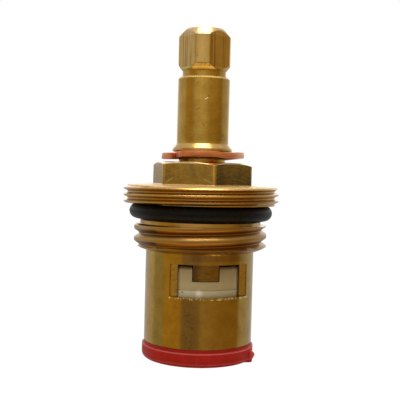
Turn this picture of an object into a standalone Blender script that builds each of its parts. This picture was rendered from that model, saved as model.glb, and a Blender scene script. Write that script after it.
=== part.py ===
"""Ceramic disc tap cartridge: quarter turn, turned brass, square-headed spindle.

The cartridge stands on its rubber base seal. The origin is on the spindle's axis at the
seal's face, +Z runs up the spindle, and the two outlet windows face -Y and +Y. Angles round
the axis are in degrees from the front window's centre (-Y) towards +X, which is
anticlockwise seen from above. The tap is shut, and turning the spindle a quarter turn
anticlockwise opens it.
"""
import math

import bmesh
import bpy
from mathutils import Matrix

MM = 0.001

# Facets round a full turn
BODY_STEPS = 60
SPINDLE_STEPS = 48
SMALL_RING_STEPS = 36

# Clearances
SEAT_GAP = 0.1 * MM
RUNNING_CLEARANCE = 0.1 * MM
DISC_CLEARANCE = 0.25 * MM
STOP_PLAY = 1.0

# Quarter turn and its stops, in degrees
TURN = 90.0
STOP_RIB_ANGLE = 30.0

# Base seal
SEAL_DIAMETER = 17.45 * MM
SEAL_LIP_HEIGHT = 1.95 * MM
SEAL_NECK_HEIGHT = 0.7 * MM
SEAL_SPIGOT_LENGTH = 4.95 * MM
SEAL_WALL = 1.5 * MM
SEAL_EDGE_RADIUS = 0.9 * MM
SEAL_CHAMFER = 0.3 * MM
SEAL_NUB_ANGLE = 52.0
SEAL_NUB_WIDTH = 1.8 * MM
SEAL_NUB_REACH = 0.45 * MM

# Tube round the ceramic discs, and its two windows
TUBE_DIAMETER = 16.9 * MM
TUBE_WALL = 0.8 * MM
TUBE_END_CHAMFER = 0.2 * MM
WINDOW_HEIGHT = 4.9 * MM
WINDOW_CUT_DEPTH = 2.42 * MM
WINDOW_SILL_DROP = 1.05 * MM
KEYWAY_ANGLE = 13.0

# Ceramic discs
LOWER_DISC_THICKNESS = 3.65 * MM
UPPER_DISC_THICKNESS = 3.5 * MM
DISC_EDGE_RADIUS = 0.35 * MM
PORT_ANGLE = 76.0
PORT_INNER_DIAMETER = 4.4 * MM
RECESS_ANGLE = 80.0
RECESS_INNER_DIAMETER = 6.0 * MM
RECESS_DEPTH = 1.9 * MM

# Spindle's drive end
DRIVE_FLANGE_THICKNESS = 2.8 * MM
DRIVE_FLANGE_LIFT = 0.35 * MM
TONGUE_ANGLE = -5.5
TONGUE_WIDTH = 3.9 * MM
TONGUE_DEPTH = 2.15 * MM
WASHER_THICKNESS = 0.6 * MM
WASHER_WIDTH = 1.0 * MM

# Spindle's bearing and its rubber rings
BEARING_DIAMETER = 9.5 * MM
SPINDLE_RING_SECTION = 1.7 * MM
UPPER_RING_DROP = 3.4 * MM
RING_SPACING = 3.3 * MM

# Body above the tube
BORE_LENGTH = 11.6 * MM
BORE_CHAMFER = 0.3 * MM
HEX_ACROSS_FLATS = 14.0 * MM
HEX_HEIGHT = 3.45 * MM
HEX_CHAMFER_ANGLE = 22.5
FLANGE_DIAMETER = 24.0 * MM
FLANGE_THICKNESS = 2.6 * MM
FLANGE_CROWN = 0.4 * MM
FLANGE_CHAMFER = 0.25 * MM
FLANGE_LAND_WIDTH = 0.45 * MM
FLANGE_RING_SECTION = 2.4 * MM
FLANGE_RING_RELIEF = 0.1 * MM
FLANGE_THREAD_DEPTH = 0.5 * MM
FLANGE_THREAD_PITCH = 1.0 * MM
LOWER_THREAD_DIAMETER = 20.9 * MM
LOWER_THREAD_DEPTH = 0.95 * MM
LOWER_THREAD_PITCH = 1.814 * MM
LOWER_THREAD_LENGTH = 4.0 * MM
THREAD_LEAD_IN = 0.3 * MM
THREAD_RUN_OUT = 0.55 * MM
PLAIN_RING_HEIGHT = 0.35 * MM

# Split clip and the groove that it is closed round
CLIP_DIAMETER = 13.2 * MM
CLIP_THICKNESS = 1.0 * MM
CLIP_SPLIT = 1.4 * MM
CLIP_SPLIT_ANGLE = -45.5
CLIP_END_PLAY = 0.5 * MM
CLIP_GROOVE_DIAMETER = 7.3 * MM
CLIP_GROOVE_DROP = 0.2 * MM

# Spindle above the body
SPINDLE_DIAMETER = 8.2 * MM
COLLAR_LAND = 0.3 * MM
COLLAR_UNDERCUT = 0.2 * MM
COLLAR_FLARE_HEIGHT = 1.1 * MM
SHAFT_LENGTH = 9.6 * MM
SHAFT_CHAMFER = 0.4 * MM
HEAD_GROOVE_DIAMETER = 6.9 * MM
HEAD_GROOVE_WIDTH = 0.95 * MM
HEAD_LOWER_CHAMFER = 0.9 * MM
HEAD_LENGTH = 4.4 * MM
HEAD_TOP_CHAMFER = 1.35 * MM
HEAD_ACROSS_FLATS = 7.2 * MM
HEAD_CORNER_ANGLE = -18.8
SCREW_HOLE_DIAMETER = 3.3 * MM
SCREW_HOLE_DEPTH = 8.0 * MM
SCREW_HOLE_COUNTERSINK = 0.35 * MM

# Radii that follow from the sizes above
tube_radius = TUBE_DIAMETER / 2
chamber_radius = tube_radius - TUBE_WALL
keyway_radius = tube_radius - TUBE_WALL / 2
disc_radius = chamber_radius - DISC_CLEARANCE
bearing_radius = BEARING_DIAMETER / 2
bore_radius = bearing_radius + RUNNING_CLEARANCE
hub_radius = bore_radius + WASHER_WIDTH
stop_rib_radius = hub_radius + RUNNING_CLEARANCE
seal_bore_radius = disc_radius - SEAL_WALL
spindle_radius = SPINDLE_DIAMETER / 2
clip_groove_radius = CLIP_GROOVE_DIAMETER / 2
flange_radius = FLANGE_DIAMETER / 2
flange_land_radius = flange_radius - FLANGE_CHAMFER - FLANGE_LAND_WIDTH
flange_ring_radius = flange_land_radius - SEAT_GAP - FLANGE_RING_SECTION / 2

# Heights, from the seal's face up
tube_end_z = SEAL_LIP_HEIGHT + SEAL_NECK_HEIGHT + SEAT_GAP
seal_top_z = SEAL_LIP_HEIGHT + SEAL_NECK_HEIGHT + SEAL_SPIGOT_LENGTH
lower_disc_z = seal_top_z + SEAT_GAP
lower_disc_top_z = lower_disc_z + LOWER_DISC_THICKNESS
upper_disc_z = lower_disc_top_z + SEAT_GAP
upper_disc_top_z = upper_disc_z + UPPER_DISC_THICKNESS
window_sill_z = upper_disc_z - WINDOW_SILL_DROP
window_top_z = window_sill_z + WINDOW_HEIGHT
drive_flange_z = upper_disc_top_z + DRIVE_FLANGE_LIFT
drive_flange_top_z = drive_flange_z + DRIVE_FLANGE_THICKNESS
washer_z = drive_flange_top_z + SEAT_GAP
shoulder_z = washer_z + WASHER_THICKNESS + SEAT_GAP
hex_top_z = shoulder_z + BORE_LENGTH
hex_base_z = hex_top_z - HEX_HEIGHT
flange_top_z = hex_base_z - FLANGE_CROWN
flange_under_z = flange_top_z - FLANGE_THICKNESS
flange_ring_z = flange_under_z + FLANGE_RING_RELIEF - SEAT_GAP - FLANGE_RING_SECTION / 2
plain_ring_top_z = flange_ring_z - FLANGE_RING_SECTION / 2 - SEAT_GAP
lower_thread_top_z = plain_ring_top_z - PLAIN_RING_HEIGHT
lower_thread_end_z = lower_thread_top_z - LOWER_THREAD_LENGTH
clip_z = hex_top_z + CLIP_END_PLAY
collar_z = clip_z + CLIP_THICKNESS + SEAT_GAP
collar_land_top_z = collar_z + COLLAR_UNDERCUT + COLLAR_LAND
shaft_z = collar_land_top_z + COLLAR_FLARE_HEIGHT
shaft_top_z = shaft_z + SHAFT_LENGTH
head_groove_z = shaft_top_z + SHAFT_CHAMFER
head_groove_top_z = head_groove_z + HEAD_GROOVE_WIDTH
head_z = head_groove_top_z + HEAD_LOWER_CHAMFER
head_shoulder_z = head_z + HEAD_LENGTH
head_top_z = head_shoulder_z + HEAD_TOP_CHAMFER
clip_groove_z = hex_top_z - CLIP_GROOVE_DROP
upper_ring_z = hex_top_z - UPPER_RING_DROP
lower_ring_z = upper_ring_z - RING_SPACING


def radians_from_window(degrees):
    """Turn an angle from the front window's centre into radians from +X."""
    return math.radians(degrees - 90.0)


def arc(centre_r, centre_z, radius, start, end, steps):
    """Points of an arc, from the start angle to the end angle in degrees, as (x, y) pairs."""
    points = []
    for i in range(steps + 1):
        angle = math.radians(start + (end - start) * i / steps)
        points.append((centre_r + radius * math.cos(angle), centre_z + radius * math.sin(angle)))
    return points


def new_collection(name):
    collection = bpy.data.collections.new(name)
    bpy.context.scene.collection.children.link(collection)
    return collection


def make_material(name, colour, roughness, metallic):
    material = bpy.data.materials.new(name)
    material.use_nodes = True
    shader = material.node_tree.nodes["Principled BSDF"]
    shader.inputs["Base Color"].default_value = (*colour, 1.0)
    shader.inputs["Roughness"].default_value = roughness
    shader.inputs["Metallic"].default_value = metallic
    material.diffuse_color = (*colour, 1.0)
    return material


def turned(name, outline, steps, collection, closed):
    """Turn an outline of (radius, z) points about Z, its outer side listed from top to bottom.

    A closed outline makes a ring. An open one starts and ends on the axis.
    """
    mesh = bpy.data.meshes.new(name)
    edges = [(i, i + 1) for i in range(len(outline) - 1)]
    if closed:
        edges.append((len(outline) - 1, 0))
    mesh.from_pydata([(r, 0.0, z) for r, z in outline], edges, [])
    piece = bpy.data.objects.new(name, mesh)
    collection.objects.link(piece)
    screw = piece.modifiers.new("turn", "SCREW")
    screw.axis = "Z"
    screw.angle = math.tau
    screw.steps = steps
    screw.render_steps = steps
    screw.use_merge_vertices = True
    screw.merge_threshold = 0.001 * MM
    return piece


def prism(name, outlines, low, high, collection):
    """Extrude flat closed outlines from low to high along Z. An inner outline is a hole."""
    curve = bpy.data.curves.new(name, "CURVE")
    curve.dimensions = "2D"
    curve.fill_mode = "BOTH"
    curve.extrude = (high - low) / 2
    for outline in outlines:
        spline = curve.splines.new("POLY")
        spline.points.add(len(outline) - 1)
        for point, (x, y) in zip(spline.points, outline):
            point.co = (x, y, 0.0, 1.0)
        spline.use_cyclic_u = True
    guide = bpy.data.objects.new(name, curve)
    guide.location.z = (low + high) / 2
    collection.objects.link(guide)
    bpy.context.view_layer.update()
    evaluated = guide.evaluated_get(bpy.context.evaluated_depsgraph_get())
    mesh = bpy.data.meshes.new_from_object(evaluated)
    solid = bpy.data.objects.new(name, mesh)
    solid.matrix_world = guide.matrix_world.copy()
    bpy.data.objects.remove(guide)
    collection.objects.link(solid)
    bm = bmesh.new()
    bm.from_mesh(mesh)
    bmesh.ops.remove_doubles(bm, verts=bm.verts, dist=0.0001 * MM)
    bmesh.ops.recalc_face_normals(bm, faces=bm.faces)
    bm.to_mesh(mesh)
    bm.free()
    return solid


def sector_outline(inner_radius, outer_radius, centre, width, steps=8):
    """Outline of a ring's sector: its centre and width are angles in degrees."""
    first = centre - width / 2 - 90.0
    last = centre + width / 2 - 90.0
    return arc(0, 0, outer_radius, first, last, steps) + arc(0, 0, inner_radius, last, first, steps)


def bar_outline(half_width, radius, heading, steps=6):
    """Outline of a bar across the axis, pointing at the heading, its ends rounded to the radius."""
    half_angle = math.degrees(math.asin(half_width / radius))
    front = heading - 90.0
    back = front + 180.0
    near_end = arc(0, 0, radius, front - half_angle, front + half_angle, steps)
    far_end = arc(0, 0, radius, back - half_angle, back + half_angle, steps)
    return near_end + far_end


def ring_section(centre_radius, centre_z, section_radius, sides):
    """Round section of a rubber ring, listed clockwise from its top."""
    return arc(centre_radius, centre_z, section_radius, 90.0, -270.0, sides)[:-1]


def boolean(piece, operation, tool):
    tool.hide_render = True
    tool.display_type = "WIRE"
    modifier = piece.modifiers.new(tool.name, "BOOLEAN")
    modifier.operation = operation
    modifier.solver = "EXACT"
    modifier.object = tool


def finish(piece, material, sharp_angle=30.0):
    """Keep the modifiers' result as the piece's mesh, smooth except at its edges."""
    bpy.context.view_layer.update()
    evaluated = piece.evaluated_get(bpy.context.evaluated_depsgraph_get())
    mesh = bpy.data.meshes.new_from_object(evaluated)
    mesh.name = piece.name
    piece.modifiers.clear()
    piece.data = mesh
    mesh.materials.clear()
    mesh.materials.append(material)
    mesh.shade_smooth()
    mesh.set_sharp_from_angle(angle=math.radians(sharp_angle))
    return piece


def seal_nub(tools):
    """Moulding nub on the seal's lower edge: a fin whose outline lies in a radial plane."""
    lip_radius = SEAL_DIAMETER / 2
    low = SEAT_GAP
    inside = lip_radius - SEAL_EDGE_RADIUS
    fin = [
        (inside, low),
        (lip_radius, low),
        (lip_radius + SEAL_NUB_REACH, SEAL_LIP_HEIGHT * 0.6),
        (lip_radius - SEAT_GAP, SEAL_LIP_HEIGHT * 0.9),
        (inside, SEAL_LIP_HEIGHT * 0.9),
    ]
    nub = prism("seal_nub", [fin], -SEAL_NUB_WIDTH / 2, SEAL_NUB_WIDTH / 2, tools)
    upright = Matrix.Rotation(math.radians(90.0), 4, "X")
    nub.matrix_world = Matrix.Rotation(radians_from_window(SEAL_NUB_ANGLE), 4, "Z") @ upright
    return nub


def base_seal(parts, tools):
    """Rubber seal: a lip under the tube, a short neck, and a spigot up to the lower disc."""
    lip_radius = SEAL_DIAMETER / 2
    neck_radius = tube_radius - SEAT_GAP
    spigot_radius = disc_radius
    neck_top_z = SEAL_LIP_HEIGHT + SEAL_NECK_HEIGHT
    edge = SEAL_EDGE_RADIUS
    outline = [
        (spigot_radius - SEAL_CHAMFER, seal_top_z),
        (spigot_radius, seal_top_z - SEAL_CHAMFER),
        (spigot_radius, neck_top_z),
        (neck_radius, neck_top_z),
        (neck_radius, SEAL_LIP_HEIGHT),
        (lip_radius - SEAT_GAP, SEAL_LIP_HEIGHT),
        (lip_radius, SEAL_LIP_HEIGHT - SEAT_GAP),
    ]
    outline += arc(lip_radius - edge, edge, edge, 0.0, -90.0, 4)
    outline += [
        (seal_bore_radius + SEAL_CHAMFER, 0.0),
        (seal_bore_radius, SEAL_CHAMFER),
        (seal_bore_radius, seal_top_z - SEAL_CHAMFER),
        (seal_bore_radius + SEAL_CHAMFER, seal_top_z),
    ]
    seal = turned("base_seal", outline, BODY_STEPS, parts, closed=True)
    boolean(seal, "UNION", seal_nub(tools))
    return finish(seal, make_material("red_rubber", (0.55, 0.02, 0.012), 0.45, 0.0))


def disc_blank(name, low, high, parts):
    """Round ceramic disc with its edges eased by a small radius."""
    edge = DISC_EDGE_RADIUS
    rim = disc_radius - edge
    outline = [(0.0, high)] + arc(rim, high - edge, edge, 90.0, 0.0, 3)
    outline += arc(rim, low + edge, edge, 0.0, -90.0, 3) + [(0.0, low)]
    return turned(name, outline, BODY_STEPS, parts, closed=False)


def lower_disc(parts, tools):
    """Fixed disc: two ports that face the windows, and two keys in the tube's keyways."""
    disc = disc_blank("lower_disc", lower_disc_z, lower_disc_top_z, parts)
    key_radius = keyway_radius - RUNNING_CLEARANCE
    key_angle = KEYWAY_ANGLE - 2 * STOP_PLAY
    for side, centre in (("right", 90.0), ("left", -90.0)):
        outline = sector_outline(disc_radius - 2 * DISC_EDGE_RADIUS, key_radius, centre, key_angle, 3)
        low = lower_disc_z + DISC_EDGE_RADIUS
        high = lower_disc_top_z - DISC_EDGE_RADIUS
        boolean(disc, "UNION", prism("disc_key_" + side, [outline], low, high, tools))
    port_radius = seal_bore_radius - SEAT_GAP
    for side, centre in (("front", 0.0), ("back", 180.0)):
        outline = sector_outline(PORT_INNER_DIAMETER / 2, port_radius, centre, PORT_ANGLE)
        port = prism("port_" + side, [outline], lower_disc_z - MM, lower_disc_top_z + MM, tools)
        boolean(disc, "DIFFERENCE", port)
    return finish(disc, make_material("ceramic_fixed", (0.72, 0.66, 0.54), 0.22, 0.0))


def upper_disc(parts, tools):
    """Turning disc: a slot across its top for the tongue, and two recesses below.

    The recesses open at the rim. They lie across the windows while the tap is shut.
    """
    disc = disc_blank("upper_disc", upper_disc_z, upper_disc_top_z, parts)
    slot_half_width = TONGUE_WIDTH / 2 + SEAT_GAP
    slot_floor_z = upper_disc_top_z - TONGUE_DEPTH - SEAT_GAP
    slot = bar_outline(slot_half_width, disc_radius + MM, TONGUE_ANGLE)
    boolean(disc, "DIFFERENCE",
            prism("tongue_slot", [slot], slot_floor_z, upper_disc_top_z + MM, tools))
    for side, centre in (("right", TONGUE_ANGLE + 90.0), ("left", TONGUE_ANGLE - 90.0)):
        outline = sector_outline(RECESS_INNER_DIAMETER / 2, disc_radius + MM, centre, RECESS_ANGLE)
        low = upper_disc_z - MM
        high = upper_disc_z + min(RECESS_DEPTH, UPPER_DISC_THICKNESS - SEAL_CHAMFER)
        boolean(disc, "DIFFERENCE", prism("recess_" + side, [outline], low, high, tools))
    return finish(disc, make_material("ceramic_turning", (0.76, 0.70, 0.58), 0.2, 0.0))


def thread_grooves(crest_radius, depth, pitch, high, low):
    """V grooves a pitch apart between two heights, as turned rings that stand for a thread."""
    count = int((high - low) / pitch)
    margin = (high - low - count * pitch) / 2
    points = []
    for i in range(count):
        crest_z = high - margin - i * pitch
        points.append((crest_radius, crest_z))
        points.append((crest_radius - depth, crest_z - pitch / 2))
    points.append((crest_radius, low + margin))
    return points


def body_outline():
    """Turned outline of the body, from the top of its bore down the outside and back up.

    The flange's top rises a little from its rim to the hexagon. Under the flange, the seat of
    the rubber ring is relieved, so that only the flat land outside it bears on the tap.
    """
    corner_radius = HEX_ACROSS_FLATS / 2 / math.cos(math.radians(30.0))
    blank_radius = corner_radius + SEAT_GAP
    top_radius = HEX_ACROSS_FLATS / 2
    hex_chamfer = (blank_radius - top_radius) * math.tan(math.radians(HEX_CHAMFER_ANGLE))
    ring_groove_radius = flange_ring_radius - FLANGE_RING_SECTION / 2 - SEAT_GAP
    thread_radius = LOWER_THREAD_DIAMETER / 2
    thread_root_radius = thread_radius - LOWER_THREAD_DEPTH
    flange_thread = thread_grooves(flange_radius, FLANGE_THREAD_DEPTH, FLANGE_THREAD_PITCH,
                                   flange_top_z - FLANGE_CHAMFER, flange_under_z + FLANGE_CHAMFER)
    lower_thread = thread_grooves(thread_radius, LOWER_THREAD_DEPTH, LOWER_THREAD_PITCH,
                                  lower_thread_top_z - THREAD_LEAD_IN, lower_thread_end_z)
    return [
        (bore_radius + BORE_CHAMFER, hex_top_z),
        (top_radius, hex_top_z),
        (blank_radius, hex_top_z - hex_chamfer),
        (blank_radius, hex_base_z),
        (flange_radius - FLANGE_CHAMFER, flange_top_z),
        *flange_thread,
        (flange_radius - FLANGE_CHAMFER, flange_under_z),
        (flange_land_radius, flange_under_z),
        (flange_land_radius, flange_under_z + FLANGE_RING_RELIEF),
        (ring_groove_radius, flange_under_z + FLANGE_RING_RELIEF),
        (ring_groove_radius, plain_ring_top_z),
        (thread_root_radius, plain_ring_top_z),
        (thread_root_radius, lower_thread_top_z),
        *lower_thread,
        (tube_radius, lower_thread_end_z - THREAD_RUN_OUT),
        (tube_radius, tube_end_z + TUBE_END_CHAMFER),
        (tube_radius - TUBE_END_CHAMFER, tube_end_z),
        (chamber_radius + TUBE_END_CHAMFER, tube_end_z),
        (chamber_radius, tube_end_z + TUBE_END_CHAMFER),
        (chamber_radius, shoulder_z),
        (bore_radius + BORE_CHAMFER, shoulder_z),
        (bore_radius, shoulder_z + BORE_CHAMFER),
        (bore_radius, hex_top_z - BORE_CHAMFER),
    ]


def hex_cutter(tools):
    """Ring with a hexagonal hole, which leaves the six flats. A corner points at each window."""
    corner_radius = HEX_ACROSS_FLATS / 2 / math.cos(math.radians(30.0))
    hexagon = arc(0, 0, corner_radius, 30.0, 330.0, 5)
    round_outside = arc(0, 0, corner_radius + MM, 0.0, 360.0, BODY_STEPS)[:-1]
    return prism("hex_flats", [round_outside, hexagon], hex_base_z, hex_top_z + MM, tools)


def window_cutter(name, side, tools):
    """Block that a side milling cut takes off the tube: side is -1 for the front, 1 for the back."""
    flat = tube_radius - WINDOW_CUT_DEPTH
    far = tube_radius + MM
    corners = [(-far, side * flat), (far, side * flat), (far, side * far), (-far, side * far)]
    return prism(name, [corners], window_sill_z, window_top_z, tools)


def stop_rib_centre():
    """Angle of a stop rib: just past where the ear ahead of it stands when the tap is open."""
    return TONGUE_ANGLE + TURN + stop_ear_angle() / 2 + STOP_PLAY + STOP_RIB_ANGLE / 2


def stop_ear_angle():
    """Width of a stop ear: what a half turn leaves beside the travel, the rib and the play."""
    return 180.0 - TURN - STOP_RIB_ANGLE - 2 * STOP_PLAY


def valve_body(parts, tools):
    """Brass body: hexagon, flange, seat for the rubber ring, threaded length and windowed tube."""
    body = turned("valve_body", body_outline(), BODY_STEPS, parts, closed=True)
    boolean(body, "DIFFERENCE", hex_cutter(tools))
    for name, half_turn in (("stop_rib_a", 0.0), ("stop_rib_b", 180.0)):
        outline = sector_outline(stop_rib_radius, chamber_radius + TUBE_WALL / 4,
                                 stop_rib_centre() + half_turn, STOP_RIB_ANGLE)
        low = window_top_z + SEAT_GAP
        boolean(body, "UNION", prism(name, [outline], low, shoulder_z + SEAT_GAP, tools))
    boolean(body, "DIFFERENCE", window_cutter("window_front", -1, tools))
    boolean(body, "DIFFERENCE", window_cutter("window_back", 1, tools))
    for name, centre in (("keyway_right", 90.0), ("keyway_left", -90.0)):
        outline = sector_outline(chamber_radius - MM, keyway_radius, centre, KEYWAY_ANGLE, 3)
        keyway = prism(name, [outline], tube_end_z - MM, lower_disc_top_z + SEAT_GAP, tools)
        boolean(body, "DIFFERENCE", keyway)
    return finish(body, make_material("body_brass", (0.52, 0.36, 0.12), 0.34, 1.0))


def flange_o_ring(parts):
    """Black rubber ring under the flange, which seals the cartridge into its valve."""
    outline = ring_section(flange_ring_radius, flange_ring_z, FLANGE_RING_SECTION / 2, 12)
    ring = turned("flange_o_ring", outline, BODY_STEPS, parts, closed=True)
    return finish(ring, make_material("black_rubber", (0.012, 0.012, 0.013), 0.5, 0.0), 60.0)


def spindle_ring_radius():
    """Centre radius of a rubber ring that stands in the spindle's groove and meets the bore."""
    return bore_radius - SEAT_GAP - SPINDLE_RING_SECTION / 2


def spindle_o_ring(name, centre_z, parts):
    outline = ring_section(spindle_ring_radius(), centre_z, SPINDLE_RING_SECTION / 2, 8)
    ring = turned(name, outline, SMALL_RING_STEPS, parts, closed=True)
    return finish(ring, make_material(name + "_rubber", (0.015, 0.015, 0.016), 0.5, 0.0), 60.0)


def thrust_washer(parts):
    """Slippery washer between the drive flange and the body's shoulder."""
    top = washer_z + WASHER_THICKNESS
    inner_radius = bearing_radius + RUNNING_CLEARANCE
    outline = [(hub_radius, top), (hub_radius, washer_z), (inner_radius, washer_z), (inner_radius, top)]
    washer = turned("thrust_washer", outline, SPINDLE_STEPS, parts, closed=True)
    return finish(washer, make_material("washer_plastic", (0.8, 0.8, 0.77), 0.4, 0.0))


def ring_groove(centre_z):
    """Points of one groove for a rubber ring, from its upper edge down to its lower edge."""
    floor_radius = spindle_ring_radius() - SPINDLE_RING_SECTION / 2 - SEAT_GAP
    half_width = SPINDLE_RING_SECTION / 2 + 2 * SEAT_GAP
    return [
        (bearing_radius, centre_z + half_width),
        (floor_radius, centre_z + half_width),
        (floor_radius, centre_z - half_width),
        (bearing_radius, centre_z - half_width),
    ]


def collar_flare(steps=5):
    """Concave flare from the shaft out to the collar's edge, as a quarter of an ellipse."""
    points = []
    for i in range(steps + 1):
        angle = math.radians(90.0 * i / steps)
        reach = bearing_radius - spindle_radius
        radius = spindle_radius + reach * (1.0 - math.cos(angle))
        points.append((radius, shaft_z - COLLAR_FLARE_HEIGHT * math.sin(angle)))
    return points


def spindle_outline():
    """Turned outline of the spindle, from its screw hole down the outside to its foot."""
    hole_radius = SCREW_HOLE_DIAMETER / 2
    groove_radius = HEAD_GROOVE_DIAMETER / 2
    top_radius = spindle_radius - HEAD_TOP_CHAMFER
    outline = [
        (0.0, head_top_z - SCREW_HOLE_DEPTH - hole_radius / 2),
        (hole_radius, head_top_z - SCREW_HOLE_DEPTH),
        (hole_radius, head_top_z - SCREW_HOLE_COUNTERSINK),
        (hole_radius + SCREW_HOLE_COUNTERSINK, head_top_z),
        (top_radius, head_top_z),
        (spindle_radius, head_shoulder_z),
        (spindle_radius, head_z),
        (groove_radius, head_groove_top_z),
        (groove_radius, head_groove_z),
        (spindle_radius - SHAFT_CHAMFER, head_groove_z),
        (spindle_radius, shaft_top_z),
    ]
    outline += collar_flare()
    outline += [
        (bearing_radius, collar_z + COLLAR_UNDERCUT),
        (bearing_radius - COLLAR_UNDERCUT, collar_z),
        (clip_groove_radius, collar_z),
        (clip_groove_radius, clip_groove_z),
        (bearing_radius, clip_groove_z),
    ]
    outline += ring_groove(upper_ring_z) + ring_groove(lower_ring_z)
    outline += [
        (bearing_radius, drive_flange_top_z),
        (hub_radius, drive_flange_top_z),
        (hub_radius, drive_flange_z),
        (0.0, drive_flange_z),
    ]
    return outline


def head_cutter(tools):
    """Ring with a square hole, which leaves the four milled flats of the spindle's head."""
    half_diagonal = HEAD_ACROSS_FLATS / math.sqrt(2.0)
    first = HEAD_CORNER_ANGLE - 90.0
    square = arc(0, 0, half_diagonal, first, first + 270.0, 3)
    round_outside = arc(0, 0, half_diagonal + MM, 0.0, 360.0, SPINDLE_STEPS)[:-1]
    return prism("head_flats", [round_outside, square], head_groove_top_z, head_top_z + MM, tools)


def spindle(parts, tools):
    """Brass spindle: square head, shaft, collar, bearing, and the flange that drives the disc."""
    stem = turned("spindle", spindle_outline(), SPINDLE_STEPS, parts, closed=False)
    boolean(stem, "DIFFERENCE", head_cutter(tools))
    ear_radius = chamber_radius - 2 * RUNNING_CLEARANCE
    ear_root_radius = hub_radius - 5 * SEAT_GAP
    for name, centre in (("stop_ear_a", TONGUE_ANGLE), ("stop_ear_b", TONGUE_ANGLE + 180.0)):
        outline = sector_outline(ear_root_radius, ear_radius, centre, stop_ear_angle())
        boolean(stem, "UNION", prism(name, [outline], drive_flange_z, drive_flange_top_z, tools))
    tongue = bar_outline(TONGUE_WIDTH / 2, disc_radius, TONGUE_ANGLE)
    low = upper_disc_top_z - TONGUE_DEPTH
    boolean(stem, "UNION", prism("tongue", [tongue], low, drive_flange_z + SEAT_GAP, tools))
    return finish(stem, make_material("spindle_brass", (0.55, 0.38, 0.13), 0.3, 1.0))


def retaining_clip(parts, tools):
    """Copper ring, split so that it can be closed round the spindle's groove."""
    outer_radius = CLIP_DIAMETER / 2
    inner_radius = clip_groove_radius + SEAT_GAP
    top = clip_z + CLIP_THICKNESS
    edge = SEAT_GAP
    outline = [
        (outer_radius - edge, top),
        (outer_radius, top - edge),
        (outer_radius, clip_z + edge),
        (outer_radius - edge, clip_z),
        (inner_radius, clip_z),
        (inner_radius, top),
    ]
    clip = turned("retaining_clip", outline, SPINDLE_STEPS, parts, closed=True)
    half = CLIP_SPLIT / 2
    split = prism("clip_split", [[(0.0, -half), (CLIP_DIAMETER, -half), (CLIP_DIAMETER, half), (0.0, half)]],
                  clip_z - MM, top + MM, tools)
    place = Matrix.Rotation(radians_from_window(CLIP_SPLIT_ANGLE), 4, "Z")
    split.matrix_world = place @ split.matrix_world
    boolean(clip, "DIFFERENCE", split)
    return finish(clip, make_material("clip_copper", (0.62, 0.24, 0.11), 0.35, 1.0))


def build():
    for leftover in list(bpy.data.objects):
        bpy.data.objects.remove(leftover)
    parts = new_collection("tap_cartridge")
    tools = new_collection("cutters")
    base_seal(parts, tools)
    lower_disc(parts, tools)
    upper_disc(parts, tools)
    valve_body(parts, tools)
    flange_o_ring(parts)
    thrust_washer(parts)
    stem = spindle(parts, tools)
    carried = [
        spindle_o_ring("spindle_o_ring_upper", upper_ring_z, parts),
        spindle_o_ring("spindle_o_ring_lower", lower_ring_z, parts),
        retaining_clip(parts, tools),
        bpy.data.objects["upper_disc"],
    ]
    for piece in carried:
        piece.parent = stem


build()
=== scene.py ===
# %% [markdown]
# # A ceramic disc tap cartridge
# This is the quarter-turn cartridge out of a bathroom tap: a turned brass body on a red rubber
# seal, a black rubber ring under a threaded flange, and a spindle that turns one ceramic disc
# on another. The solids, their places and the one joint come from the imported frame. This
# script makes what the eye sees: threads, burrs, bent copper, moulded rubber and old brass.

# %% The fixed frame
import math

import bmesh
import bpy
from mathutils import Matrix, Vector, noise


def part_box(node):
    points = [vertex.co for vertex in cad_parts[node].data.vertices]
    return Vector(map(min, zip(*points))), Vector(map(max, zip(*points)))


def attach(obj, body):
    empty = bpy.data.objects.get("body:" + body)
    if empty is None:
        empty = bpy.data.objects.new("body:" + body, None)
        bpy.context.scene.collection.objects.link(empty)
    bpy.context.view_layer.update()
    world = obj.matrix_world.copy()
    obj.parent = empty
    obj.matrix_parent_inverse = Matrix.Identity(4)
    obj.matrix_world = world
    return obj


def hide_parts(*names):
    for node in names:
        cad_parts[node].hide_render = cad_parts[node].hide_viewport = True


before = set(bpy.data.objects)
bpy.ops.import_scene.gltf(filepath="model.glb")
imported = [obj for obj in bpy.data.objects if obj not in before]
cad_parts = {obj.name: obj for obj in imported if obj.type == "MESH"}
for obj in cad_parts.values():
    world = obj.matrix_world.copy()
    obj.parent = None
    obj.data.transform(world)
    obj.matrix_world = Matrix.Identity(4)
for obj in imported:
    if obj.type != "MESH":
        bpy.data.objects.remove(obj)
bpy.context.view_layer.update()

# %% [markdown]
# ## Lengths and headings
# Every length below is in millimetres, as on a machinist's drawing, and is scaled once, when
# a mesh is made. A heading is an angle in degrees round the axis, from the middle of the
# front window (-Y) towards +X. The frame says where each node ends, so a piece that replaces
# a node reads its ends from there.

# %% Lengths and headings
MM = 0.001


def reach(node):
    """Lowest and highest point of a CAD node, and its widest radius along X, in millimetres."""
    low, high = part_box(node)
    return low[2] / MM, high[2] / MM, high[0] / MM


def on_circle(radius, heading, height):
    """Point at a radius and a heading, in millimetres."""
    turn = math.radians(heading - 90.0)
    return Vector((radius * math.cos(turn), radius * math.sin(turn), height))


def blend(low, high, share):
    return low + (high - low) * share


def smooth_step(low, high, value):
    """0 below low, 1 above high, and a soft curve between them."""
    share = min(max((value - low) / (high - low), 0.0), 1.0)
    return share * share * (3.0 - 2.0 * share)


tube_end, hexagon_top, flange_radius = reach("valve_body")
_, head_top, _ = reach("spindle")
print(f"body from {tube_end:.2f} to {hexagon_top:.2f} mm, flange {2 * flange_radius:.1f} mm across")

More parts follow.
